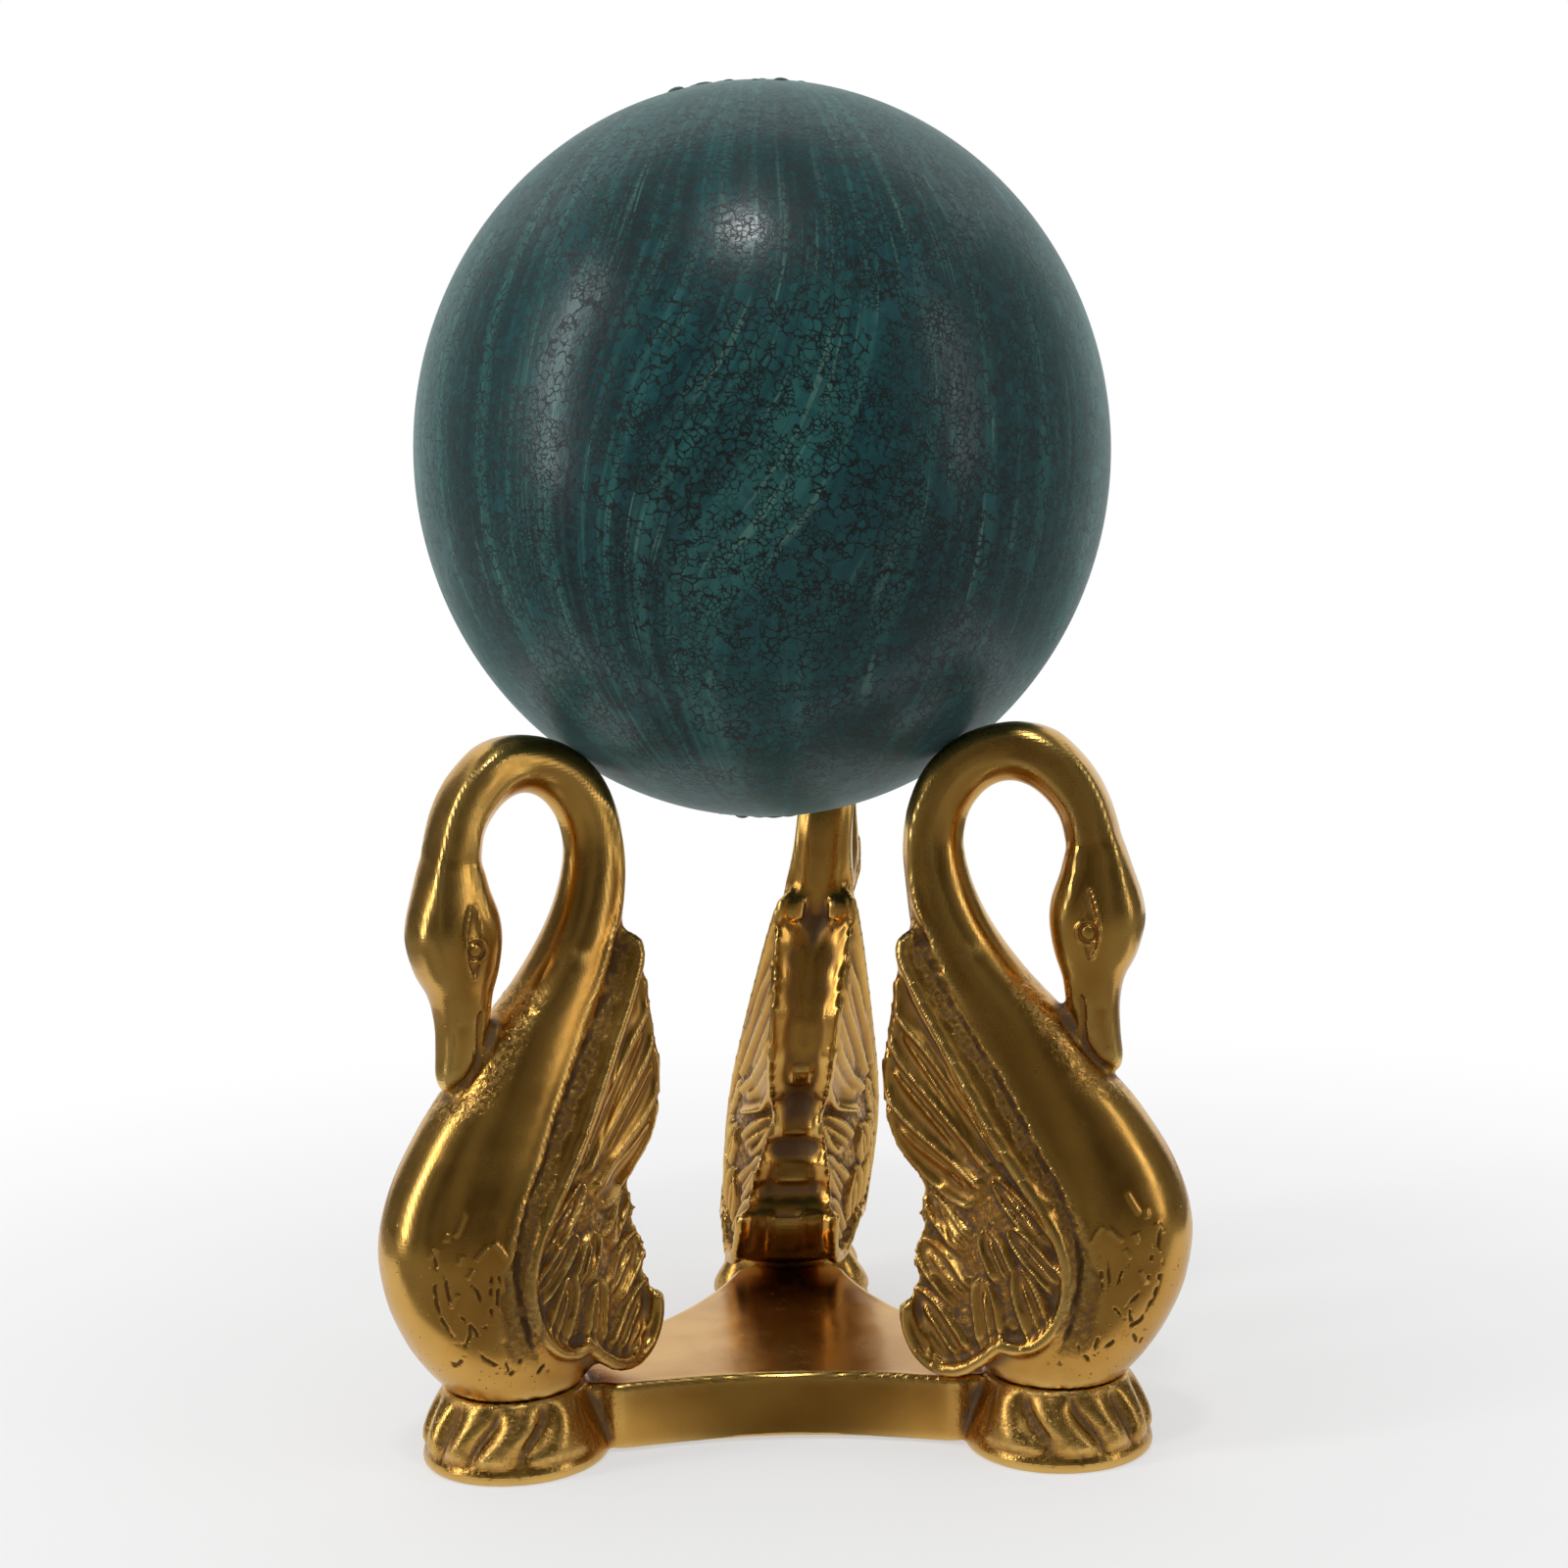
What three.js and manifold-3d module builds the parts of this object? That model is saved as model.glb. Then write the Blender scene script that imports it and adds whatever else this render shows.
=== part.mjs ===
// A marbled ball resting loose on the arched necks of three cast brass swans. Each swan stands on
// a paw foot of a tripod base and is held from below by one screw and a washer.
// Millimetres, +Z up. The origin is on the stand's axis, in the plane of the plate's underside.

import * as THREE from 'three';
import { mergeVertices } from 'three/addons/utils/BufferGeometryUtils.js';
import Module from 'manifold-3d';

const wasm = await Module();
wasm.setup();

// Stand: a plate with three concave sides and a paw foot at each corner
const BACK_AZIMUTH = 90;
const FOOT_CIRCLE_RADIUS = 56.8;
const PLATE_THICKNESS = 12;
const FOOT_DROP = 0.6;
const PAD_RISE = 0.9;
const SIDE_DISTANCE = 25.5;
const ARM_WIDTH = 22;
const ARM_CORNER_INSET = 15.6;
const EDGE_ROUNDING = 0.8;
const SOLE_RADIUS = 17;
const PAD_RADIUS = 13;
const SOLE_RIM_HEIGHT = 2.6;
const TOE_COUNT = 5;
const TOE_PITCH = 31;
const TOE_RELIEF = 2.2;
const TOE_FULLNESS = 0.6;
const TOE_MEAN = 0.5;

// Swan: how far each one has turned on its screw, how far the back one leans, and the wings' sizes
const BACK_TWIST = -3;
const BACK_LEAN = -6.8;
const LEFT_TWIST = 8;
const RIGHT_TWIST = 14;
const WING_EDGE_OFFSET = 9;
const WING_EDGE_THICKNESS = 3.4;
const BACK_RECESS = 2;
const BACK_DEPTH = 8;
const FEATHER_RELIEF = 1.1;
const FEATHER_CROWN_START = 0.3;
const RIM_BEAD_RADIUS = 1.5;
const RIM_BEAD_END_RADIUS = 0.6;
const RIM_BEAD_TAPER = 0.125;
const SHOULDER_FORWARD = 4;
const SHOULDER_RISE = 3;
const SHOULDER_DROP = 3.5;
const SECTION_SQUARENESS = 0.86;

// Ball: slightly taller than wide, with a filled hole at each pole. It rests a little off the
// stand's axis, so that it is as close to the leaning swan's neck as to the others.
const BALL_WIDTH = 130;
const BALL_HEIGHT = 136;
const BALL_REST_X = 0.17;
const BALL_REST_Y = 0.53;
const PLUG_DIAMETER = 9;
const PLUG_DEPTH = 10;

// Fasteners
const SCREW_DIAMETER = 6;
const SCREW_REACH = 14;
const SCREW_HEAD_DIAMETER = 10;
const SCREW_HEAD_HEIGHT = 3.6;
const SCREW_SLOT_WIDTH = 1.4;
const SCREW_SLOT_DEPTH = 1.5;
const WASHER_DIAMETER = 12.5;
const WASHER_THICKNESS = 1.2;
const HEAD_RECESS = 1;

// Clearances
const SEAT_GAP = 0.3;
const BORE_CLEARANCE = 0.3;
const BORE_END_ROOM = 1;

// Heights that follow from the sizes above
const SOLE_Z = -FOOT_DROP;
const PAD_Z = PLATE_THICKNESS + PAD_RISE;
const SWAN_Z = PAD_Z + SEAT_GAP;
const HEAD_BOTTOM_Z = SOLE_Z + HEAD_RECESS;
const WASHER_Z = HEAD_BOTTOM_Z + SCREW_HEAD_HEIGHT + SEAT_GAP;
const COUNTERBORE_TOP_Z = WASHER_Z + WASHER_THICKNESS + SEAT_GAP;
const SCREW_TIP_Z = SWAN_Z + SCREW_REACH;

// Swan's neck and body: back and front outline as [outward, height] pairs with the half thickness,
// from its seat on the foot, up the body, over the arch and down into the head
const NECK_STATIONS = [
  [-12, 0, 12.4, 0, 12.4],
  [-17, 4.5, 16.6, 4.8, 13.6],
  [-19, 10, 20.3, 10.5, 14.6],
  [-20, 18, 23.5, 18.3, 15.2],
  [-20.5, 28, 24.7, 28, 15],
  [-21, 38, 22, 38, 13.8],
  [-21.8, 48, 16, 48, 12],
  [-22.5, 57, 9.8, 55.5, 10.4],
  [-23.2, 66, 3.5, 64, 9],
  [-24, 74, -3.5, 71.5, 7.9],
  [-24.8, 81.5, -9.5, 79.5, 7],
  [-25.5, 88.5, -13.2, 87, 6.2],
  [-25.8, 95, -15, 94.5, 5.7],
  [-24.6, 102.5, -14.3, 99.8, 5.5],
  [-21, 109.6, -12, 103.6, 5.4],
  [-14.5, 114.8, -9.2, 105.7, 5.4],
  [-6.2, 116.9, -5.9, 106.4, 5.4],
  [1.3, 115.6, -2.4, 105.2, 5.4],
  [6.8, 110.9, 0.6, 102.6, 5.4],
  [10.5, 105.2, 2.7, 99.2, 5.4],
  [12.7, 98.6, 3.6, 94.6, 5.4],
  [14, 91.5, 4, 90, 5.2],
];

// Swan's head and beak, in the same form, from inside the neck to the beak's tip on the breast
const HEAD_STATIONS = [
  [11.3, 99.5, 5, 96.4, 3.8],
  [13.3, 96.2, 3.6, 94, 5.2],
  [15.1, 91.2, 2.6, 90.3, 6],
  [16.9, 85.5, 0.9, 85.5, 6.9],
  [17.2, 81, 0.5, 81, 7.1],
  [15.7, 75.6, 1.3, 75.8, 6.4],
  [13.4, 71.2, 2.6, 71.4, 5.2],
  [12.5, 66.2, 3.3, 66.2, 4.3],
  [12.6, 61, 4.9, 61, 3.7],
  [12.9, 57.2, 7.2, 57, 2.9],
  [12.4, 55, 10, 54.8, 1.5],
];

// Wing's raised rim as [outward, height, sideways], from the top corner down the front and under
const WING_RIM = [
  [-25.8, 77.8, 7.8], [-20.5, 66.5, 10], [-14.6, 57, 11.8], [-9, 47.3, 13.6], [-3.7, 39.5, 14.8],
  [1.5, 31, 15.6], [4.4, 24.8, 15.9], [5.2, 18.8, 15.9], [4.2, 12.8, 15.6], [1.4, 8.7, 15],
  [-2.8, 6.9, 14.4], [-7, 7.1, 13.8], [-10.2, 4.9, 13], [-13.5, 2.8, 12], [-17.7, 1.9, 11],
  [-22, 3, 10], [-24.6, 5.5, 9.4],
];

// Wing's scalloped rear edge as [outward, height], from the top corner down to the bottom lobe
const WING_EDGE = [
  [-25.8, 77.8], [-26.7, 73], [-27.2, 68], [-28.2, 63], [-29.2, 58], [-29.6, 53], [-29.3, 48],
  [-28.3, 43], [-26.3, 39], [-23.8, 35.5], [-22.9, 32.5], [-23.4, 29], [-22.8, 26], [-24.1, 23],
  [-24.2, 19.5], [-23.6, 17], [-25, 14], [-25.7, 9.5], [-24.6, 5.5],
];

// Which station of the rim each station of the rear edge runs to, along the feathers
const FEATHER_ENDS = [
  [0, 4.4], [1, 4.7], [10, 6.1], [12, 6.8], [15, 8], [17, 11], [18, 15],
];

// How far the swan at each corner has turned about its screw, and leans sideways
const STANCES = {
  back: { twist: BACK_TWIST, lean: BACK_LEAN },
  front_left: { twist: LEFT_TWIST, lean: 0 },
  front_right: { twist: RIGHT_TWIST, lean: 0 },
};

// The stand's corners, evenly round its axis
const CORNER_PITCH = 360 / Object.keys(STANCES).length;
const CORNERS = Object.entries(STANCES).map(([place, stance], k) => (
  { place, azimuth: BACK_AZIMUTH + k * CORNER_PITCH, ...stance }
));

// Heights of a foot's rings, as shares of the foot's height
const FOOT_LEVELS = [0, 0.1, 0.2, 0.32, 0.5, 0.68, 0.84, 0.94, 1];

// Facet counts
const NECK_STEPS = 30;
const NECK_SIDES = 14;
const HEAD_STEPS = 16;
const HEAD_SIDES = 12;
const BEAD_STEPS = 24;
const BEAD_SIDES = 6;
const FEATHER_ROWS = 26;
const FEATHER_STEPS = 4;
const RIM_BLEND_ROWS = 2;
const BACK_ROWS = 16;
const BALL_SEGMENTS = 36;
const BALL_RINGS = 20;
const FOOT_SEGMENTS = 48;
const BOLT_SEGMENTS = 24;
const SIDE_STEPS = 12;
const EDGE_STEPS = 2;

const rad = THREE.MathUtils.degToRad;
const lerp = THREE.MathUtils.lerp;
const vec = (x, y, z) => new THREE.Vector3(x, y, z);

// Closed body through rings of equal length, its ends closed by strips across the rings
function loft(rings) {
  const count = rings[0].length;
  const indices = [];
  for (let i = 0; i + 1 < rings.length; i += 1) {
    for (let j = 0; j < count; j += 1) {
      const next = (j + 1) % count;
      const [a, b] = [i * count + j, i * count + next];
      const [c, d] = [a + count, b + count];
      indices.push(a, b, c, b, d, c);
    }
  }
  const last = (rings.length - 1) * count;
  for (let j = 0; j + 1 < count / 2; j += 1) {
    const [a, b, c, d] = [j, j + 1, count - 2 - j, count - 1 - j];
    indices.push(a, c, b, a, d, c);
    indices.push(last + a, last + b, last + c, last + a, last + c, last + d);
  }
  const geometry = new THREE.BufferGeometry().setFromPoints(rings.flat());
  geometry.setIndex(enclosedVolume(rings.flat(), indices) < 0 ? indices.reverse() : indices);
  return geometry;
}

function enclosedVolume(points, indices) {
  let volume = 0;
  for (let i = 0; i < indices.length; i += 3) {
    const [a, b, c] = [points[indices[i]], points[indices[i + 1]], points[indices[i + 2]]];
    volume += a.dot(b.clone().cross(c)) / 6;
  }
  return volume;
}

// Solid for a cut or a join, from a closed geometry
function toSolid(geometry) {
  const plain = geometry.clone();
  plain.deleteAttribute('normal');
  plain.deleteAttribute('uv');
  const merged = mergeVertices(plain);
  return new wasm.Manifold(new wasm.Mesh({
    numProp: 3,
    vertProperties: new Float32Array(merged.attributes.position.array),
    triVerts: new Uint32Array(merged.index.array),
  }));
}

function toGeometry(solid) {
  const { vertProperties, triVerts } = solid.getMesh();
  const geometry = new THREE.BufferGeometry();
  geometry.setAttribute('position', new THREE.BufferAttribute(vertProperties, 3));
  geometry.setIndex(new THREE.BufferAttribute(triVerts, 1));
  geometry.computeVertexNormals();
  return geometry;
}

// Upright cylinder between two heights
function rod(radius, bottom, top, x = 0, y = 0) {
  const geometry = new THREE.CylinderGeometry(radius, radius, top - bottom, BOLT_SEGMENTS);
  return geometry.rotateX(Math.PI / 2).translate(x, y, (bottom + top) / 2);
}

function finish(colour, roughness, metalness) {
  return new THREE.MeshStandardMaterial({ color: colour, roughness, metalness });
}

function piece(name, geometry, material) {
  const mesh = new THREE.Mesh(geometry, material);
  mesh.name = name;
  return mesh;
}

const castBrass = () => finish(0xb0822c, 0.3, 1);
const plainSteel = () => finish(0x8d8f91, 0.4, 1);
const marbledPaint = () => finish(0x1f4d50, 0.4, 0);
const pooledPaint = () => finish(0x123a30, 0.5, 0);

// Rings between a back and a front outline, as flattened ovals with a set half thickness
function sectionRings(stations, steps, sides) {
  const back = new THREE.CatmullRomCurve3(stations.map(([x, z, , , half]) => vec(x, half, z)));
  const front = new THREE.CatmullRomCurve3(stations.map(([, , x, z]) => vec(x, 0, z)));
  const rings = [];
  for (let i = 0; i <= steps; i += 1) {
    const b = back.getPoint(i / steps);
    const f = front.getPoint(i / steps);
    const half = b.y;
    b.y = 0;
    const middle = b.clone().lerp(f, 0.5);
    const reach = f.clone().sub(middle);
    rings.push(Array.from({ length: sides }, (_, j) => {
      const angle = ((j + 0.5) / sides) * 2 * Math.PI;
      const point = middle.clone().addScaledVector(reach, flattened(Math.cos(angle)));
      point.y = half * flattened(Math.sin(angle));
      return point;
    }));
  }
  return rings;
}

// Squares an oval's section a little, so that the flanks are flatter than an ellipse's
function flattened(value) {
  return Math.sign(value) * Math.abs(value) ** SECTION_SQUARENESS;
}

// Point on a curve through stations, at a station number that need not be whole
function atStation(curve, station) {
  return curve.getPoint(station / (curve.points.length - 1));
}

// Station of the rim that the feather from a station of the rear edge runs to
function rimStation(edgeStation) {
  const k = FEATHER_ENDS.findIndex(([edge]) => edge >= edgeStation);
  if (k <= 0) return FEATHER_ENDS[0][1];
  const [e0, r0] = FEATHER_ENDS[k - 1];
  const [e1, r1] = FEATHER_ENDS[k];
  return lerp(r0, r1, (edgeStation - e0) / (e1 - e0));
}

// One wing: rows along the feathers from the rear edge to the rim, ridged from row to row
function wingGeometry(rim, edge) {
  const innerFace = WING_EDGE_OFFSET - WING_EDGE_THICKNESS;
  const lastEdge = WING_EDGE.length - 1;
  const rings = [shoulderRing(rim, innerFace)];
  for (let row = 0; row <= FEATHER_ROWS; row += 1) {
    const station = (row / FEATHER_ROWS) * lastEdge;
    const tip = atStation(edge, station);
    const root = atStation(rim, rimStation(station));
    const alongRim = Math.max(0, 1 - row / RIM_BLEND_ROWS);
    const ridge = row % 2 === 1 ? FEATHER_RELIEF : 0;
    const outer = [];
    const inner = [];
    for (let step = 0; step <= FEATHER_STEPS; step += 1) {
      const u = step / FEATHER_STEPS;
      const straight = tip.clone().lerp(root, u);
      const point = straight.lerp(atStation(rim, rimStation(0) * u), alongRim);
      const crown = ridge * Math.sin(Math.PI * lerp(FEATHER_CROWN_START, 1, u));
      outer.push(vec(point.x, point.y + crown, point.z));
      inner.push(vec(point.x, innerFace, point.z));
    }
    rings.push([...outer, ...inner.reverse()]);
  }
  return loft(rings);
}

// First ring of a wing: beyond the rim, sunk into the neck and body
function shoulderRing(rim, innerFace) {
  const outer = [];
  const inner = [];
  for (let step = 0; step <= FEATHER_STEPS; step += 1) {
    const point = atStation(rim, (rimStation(0) * step) / FEATHER_STEPS);
    point.add(vec(SHOULDER_FORWARD, -SHOULDER_DROP, SHOULDER_RISE));
    outer.push(point);
    inner.push(vec(point.x, Math.min(innerFace, point.y) / 2, point.z));
  }
  return [...outer, ...inner.reverse()];
}

// Rounded bead along the wing's rim, tapering at both ends
function beadGeometry(rim) {
  const rings = [];
  for (let i = 0; i <= BEAD_STEPS; i += 1) {
    const toEnd = Math.min(i, BEAD_STEPS - i) / BEAD_STEPS;
    const full = Math.min(1, toEnd / RIM_BEAD_TAPER);
    const radius = lerp(RIM_BEAD_END_RADIUS, RIM_BEAD_RADIUS, full);
    const centre = rim.getPoint(i / BEAD_STEPS);
    const along = rim.getTangent(i / BEAD_STEPS).setY(0).normalize();
    const across = along.clone().cross(vec(0, 1, 0));
    rings.push(Array.from({ length: BEAD_SIDES }, (_, j) => {
      const angle = ((j + 0.5) / BEAD_SIDES) * 2 * Math.PI;
      const point = centre.clone().addScaledVector(across, radius * Math.cos(angle));
      point.y += radius * Math.sin(angle);
      return point;
    }));
  }
  return loft(rings);
}

function mirrored(geometry) {
  const copy = geometry.clone().scale(1, -1, 1);
  copy.setIndex([...geometry.index.array].reverse());
  return copy;
}

// The back between the wings, set in from their rear edges
function backGeometry(edge) {
  const half = WING_EDGE_OFFSET - WING_EDGE_THICKNESS / 2;
  const rings = [];
  for (let row = 0; row <= BACK_ROWS; row += 1) {
    const { x, z } = edge.getPoint(row / BACK_ROWS);
    const skin = x + BACK_RECESS;
    const inside = skin + BACK_DEPTH;
    rings.push([
      vec(skin, -half, z), vec(skin, half, z), vec(inside, half, z), vec(inside, -half, z),
    ]);
  }
  return loft(rings);
}

// One swan in its own frame, outward along +X with its flat seat at height 0 and its screw's axis
// along Z. It leans sideways evenly from its seat up, and the bore stays upright.
function swanGeometry(lean) {
  const rim = new THREE.CatmullRomCurve3(WING_RIM.map(([x, z, y]) => vec(x, y, z)));
  const edge = new THREE.CatmullRomCurve3(WING_EDGE.map(([x, z]) => vec(x, WING_EDGE_OFFSET, z)));
  let swan = toSolid(loft(sectionRings(NECK_STATIONS, NECK_STEPS, NECK_SIDES)));
  swan = swan.add(toSolid(loft(sectionRings(HEAD_STATIONS, HEAD_STEPS, HEAD_SIDES))));
  for (const half of [wingGeometry(rim, edge), beadGeometry(rim)]) {
    swan = swan.add(toSolid(half)).add(toSolid(mirrored(half)));
  }
  swan = swan.add(toSolid(backGeometry(edge)));
  const sideways = new THREE.Matrix4().makeShear(0, 0, 0, 0, 0, Math.tan(rad(lean)));
  swan = swan.transform(sideways.elements);
  const boreRadius = SCREW_DIAMETER / 2 + BORE_CLEARANCE;
  const boreTop = SCREW_REACH + BORE_END_ROOM;
  return toGeometry(swan.subtract(toSolid(rod(boreRadius, -BORE_END_ROOM, boreTop))));
}

// A paw foot on its own axis: a flared sole, toes raised on the outward side, and the flat pad
function footGeometry() {
  const footHeight = PAD_Z - SOLE_Z;
  const rings = FOOT_LEVELS.map((level) => {
    const height = level * footHeight;
    const alongToes = (height - SOLE_RIM_HEIGHT) / (footHeight - SOLE_RIM_HEIGHT);
    const toes = Math.sin(Math.PI * THREE.MathUtils.clamp(alongToes, 0, 1)) ** TOE_FULLNESS;
    const mean = lerp(SOLE_RADIUS, PAD_RADIUS, THREE.MathUtils.smoothstep(level, 0, 1));
    return Array.from({ length: FOOT_SEGMENTS }, (_, j) => {
      const angle = (j / FOOT_SEGMENTS) * 2 * Math.PI;
      const bearing = THREE.MathUtils.radToDeg(Math.atan2(Math.sin(angle), Math.cos(angle)));
      const onToes = Math.abs(bearing) < (TOE_COUNT * TOE_PITCH) / 2;
      const lobe = onToes ? Math.abs(Math.cos((bearing / TOE_PITCH) * Math.PI)) : 0;
      const radius = mean + TOE_RELIEF * toes * (lobe - TOE_MEAN);
      return vec(radius * Math.cos(angle), radius * Math.sin(angle), SOLE_Z + height);
    });
  });
  return loft(rings);
}

// The plate's outline: three arms whose corners are joined by concave sides
function plateShape() {
  const armCorner = (azimuth, side) => new THREE.Vector2(
    FOOT_CIRCLE_RADIUS - ARM_CORNER_INSET, (side * ARM_WIDTH) / 2,
  ).rotateAround(new THREE.Vector2(), rad(azimuth));
  const armEnd = (azimuth, side) => new THREE.Vector2(
    FOOT_CIRCLE_RADIUS, (side * PAD_RADIUS) / 2,
  ).rotateAround(new THREE.Vector2(), rad(azimuth));
  const shape = new THREE.Shape();
  for (const [k, { azimuth }] of CORNERS.entries()) {
    const start = armCorner(azimuth, 1);
    const next = armCorner(azimuth + CORNER_PITCH, -1);
    const middle = new THREE.Vector2(SIDE_DISTANCE, 0);
    middle.rotateAround(new THREE.Vector2(), rad(azimuth + CORNER_PITCH / 2));
    const control = middle.multiplyScalar(2).sub(start.clone().add(next).multiplyScalar(0.5));
    const [right, left] = [armEnd(azimuth, -1), armEnd(azimuth, 1)];
    if (k === 0) shape.moveTo(right.x, right.y);
    else shape.lineTo(right.x, right.y);
    shape.lineTo(left.x, left.y);
    shape.lineTo(start.x, start.y);
    shape.quadraticCurveTo(control.x, control.y, next.x, next.y);
  }
  return shape;
}

function plateGeometry() {
  const flatHeight = PLATE_THICKNESS - 2 * EDGE_ROUNDING;
  const geometry = new THREE.ExtrudeGeometry(plateShape(), {
    depth: flatHeight,
    curveSegments: SIDE_STEPS,
    bevelSize: EDGE_ROUNDING,
    bevelThickness: EDGE_ROUNDING,
    bevelOffset: -EDGE_ROUNDING,
    bevelSegments: EDGE_STEPS,
  });
  return geometry.translate(0, 0, EDGE_ROUNDING);
}

// The base casting, counterbored from below for each swan's screw
function baseGeometry() {
  let base = toSolid(plateGeometry());
  const foot = footGeometry().translate(FOOT_CIRCLE_RADIUS, 0, 0);
  for (const { azimuth } of CORNERS) {
    base = base.add(toSolid(foot.clone().rotateZ(rad(azimuth))));
  }
  const counterbore = WASHER_DIAMETER / 2 + BORE_CLEARANCE;
  const bore = SCREW_DIAMETER / 2 + BORE_CLEARANCE;
  for (const { azimuth } of CORNERS) {
    const x = FOOT_CIRCLE_RADIUS * Math.cos(rad(azimuth));
    const y = FOOT_CIRCLE_RADIUS * Math.sin(rad(azimuth));
    const wide = rod(counterbore, SOLE_Z - BORE_END_ROOM, COUNTERBORE_TOP_Z, x, y);
    const narrow = rod(bore, SOLE_Z, PAD_Z + BORE_END_ROOM, x, y);
    base = base.subtract(toSolid(wide)).subtract(toSolid(narrow));
  }
  return toGeometry(base);
}

function screwGeometry() {
  const headTop = HEAD_BOTTOM_Z + SCREW_HEAD_HEIGHT;
  const head = toSolid(rod(SCREW_HEAD_DIAMETER / 2, HEAD_BOTTOM_Z, headTop));
  const shank = toSolid(rod(SCREW_DIAMETER / 2, HEAD_BOTTOM_Z + SCREW_SLOT_DEPTH, SCREW_TIP_Z));
  const slotLength = 2 * SCREW_HEAD_DIAMETER;
  const slot = new THREE.BoxGeometry(slotLength, SCREW_SLOT_WIDTH, 2 * SCREW_SLOT_DEPTH);
  return toGeometry(head.add(shank).subtract(toSolid(slot.translate(0, 0, HEAD_BOTTOM_Z))));
}

function washerGeometry() {
  const outside = WASHER_DIAMETER / 2;
  const inside = SCREW_DIAMETER / 2 + BORE_CLEARANCE;
  const top = WASHER_Z + WASHER_THICKNESS;
  const profile = [[inside, WASHER_Z], [outside, WASHER_Z], [outside, top], [inside, top]];
  return upright([...profile, profile[0]], BOLT_SEGMENTS);
}

// Turned solid from [radius, height] pairs, about the upright axis
function upright(profile, segments) {
  const points = profile.map(([radius, height]) => new THREE.Vector2(radius, height));
  return mergeVertices(bare(new THREE.LatheGeometry(points, segments).rotateX(Math.PI / 2)));
}

function bare(geometry) {
  geometry.deleteAttribute('normal');
  geometry.deleteAttribute('uv');
  return geometry;
}

// Height of the ball's surface above its centre, at a distance from the axis
function ballSurface(radius) {
  const half = BALL_WIDTH / 2;
  return (BALL_HEIGHT / 2) * Math.sqrt(1 - (radius / half) ** 2);
}

// Ball's core about its own centre, with the blind hole of its spindle at each pole
function coreGeometry() {
  const hole = PLUG_DIAMETER / 2 + BORE_CLEARANCE;
  const floor = ballSurface(hole) - PLUG_DEPTH;
  const start = Math.acos(ballSurface(hole) / (BALL_HEIGHT / 2));
  const profile = [[0, -floor], [hole, -floor]];
  for (let i = 0; i <= BALL_RINGS; i += 1) {
    const angle = lerp(start, Math.PI - start, i / BALL_RINGS);
    profile.push([(BALL_WIDTH / 2) * Math.sin(angle), -(BALL_HEIGHT / 2) * Math.cos(angle)]);
  }
  profile.push([hole, floor], [0, floor]);
  return upright(profile, BALL_SEGMENTS);
}

// Filler plug of the upper hole, its top domed to the ball's surface
function plugGeometry() {
  const radius = PLUG_DIAMETER / 2;
  const bottom = ballSurface(radius + BORE_CLEARANCE) - PLUG_DEPTH + SEAT_GAP;
  const profile = [[0, bottom], [radius, bottom], [radius, ballSurface(radius)]];
  profile.push([radius / 2, ballSurface(radius / 2)], [0, ballSurface(0)]);
  return upright(profile, BOLT_SEGMENTS);
}

// Lowest height of the ball's centre at which it clears a swan's neck by the seat's gap
function ballCentreHeight(swan, azimuth, twist) {
  const points = swan.attributes.position;
  const place = new THREE.Matrix4().makeRotationZ(rad(azimuth));
  place.multiply(new THREE.Matrix4().makeTranslation(FOOT_CIRCLE_RADIUS, 0, SWAN_Z));
  place.multiply(new THREE.Matrix4().makeRotationZ(rad(twist)));
  let height = 0;
  for (let i = 0; i < points.count; i += 1) {
    const point = new THREE.Vector3().fromBufferAttribute(points, i).applyMatrix4(place);
    const radius = Math.hypot(point.x - BALL_REST_X, point.y - BALL_REST_Y);
    if (radius < BALL_WIDTH / 2) height = Math.max(height, point.z + ballSurface(radius));
  }
  return height + SEAT_GAP;
}

const ornament = new THREE.Group();
ornament.add(piece('base_casting', baseGeometry(), castBrass()));

let ballHeight = 0;
for (const { place, azimuth, twist, lean } of CORNERS) {
  const swanShape = swanGeometry(lean);
  ballHeight = Math.max(ballHeight, ballCentreHeight(swanShape, azimuth, twist));
  const corner = new THREE.Group();
  corner.rotation.z = rad(azimuth);
  const screwAxis = new THREE.Group();
  screwAxis.position.x = FOOT_CIRCLE_RADIUS;
  screwAxis.rotation.z = rad(twist);
  const swan = piece(`swan_${place}`, swanShape, castBrass());
  swan.position.z = SWAN_Z;
  screwAxis.add(swan);
  screwAxis.add(piece(`swan_screw_${place}`, screwGeometry(), plainSteel()));
  screwAxis.add(piece(`screw_washer_${place}`, washerGeometry(), plainSteel()));
  corner.add(screwAxis);
  ornament.add(corner);
}

const ball = new THREE.Group();
ball.position.set(BALL_REST_X, BALL_REST_Y, ballHeight);
ball.add(piece('ball_core', coreGeometry(), marbledPaint()));
ball.add(piece('ball_top_plug', plugGeometry(), pooledPaint()));
const bottomPlug = piece('ball_bottom_plug', plugGeometry(), pooledPaint());
bottomPlug.rotation.x = Math.PI;
ball.add(bottomPlug);
ornament.add(ball);

export default ornament;
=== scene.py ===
from functools import partial
import math

import bmesh
import bpy
import numpy as np
from mathutils import Matrix, Vector


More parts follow.
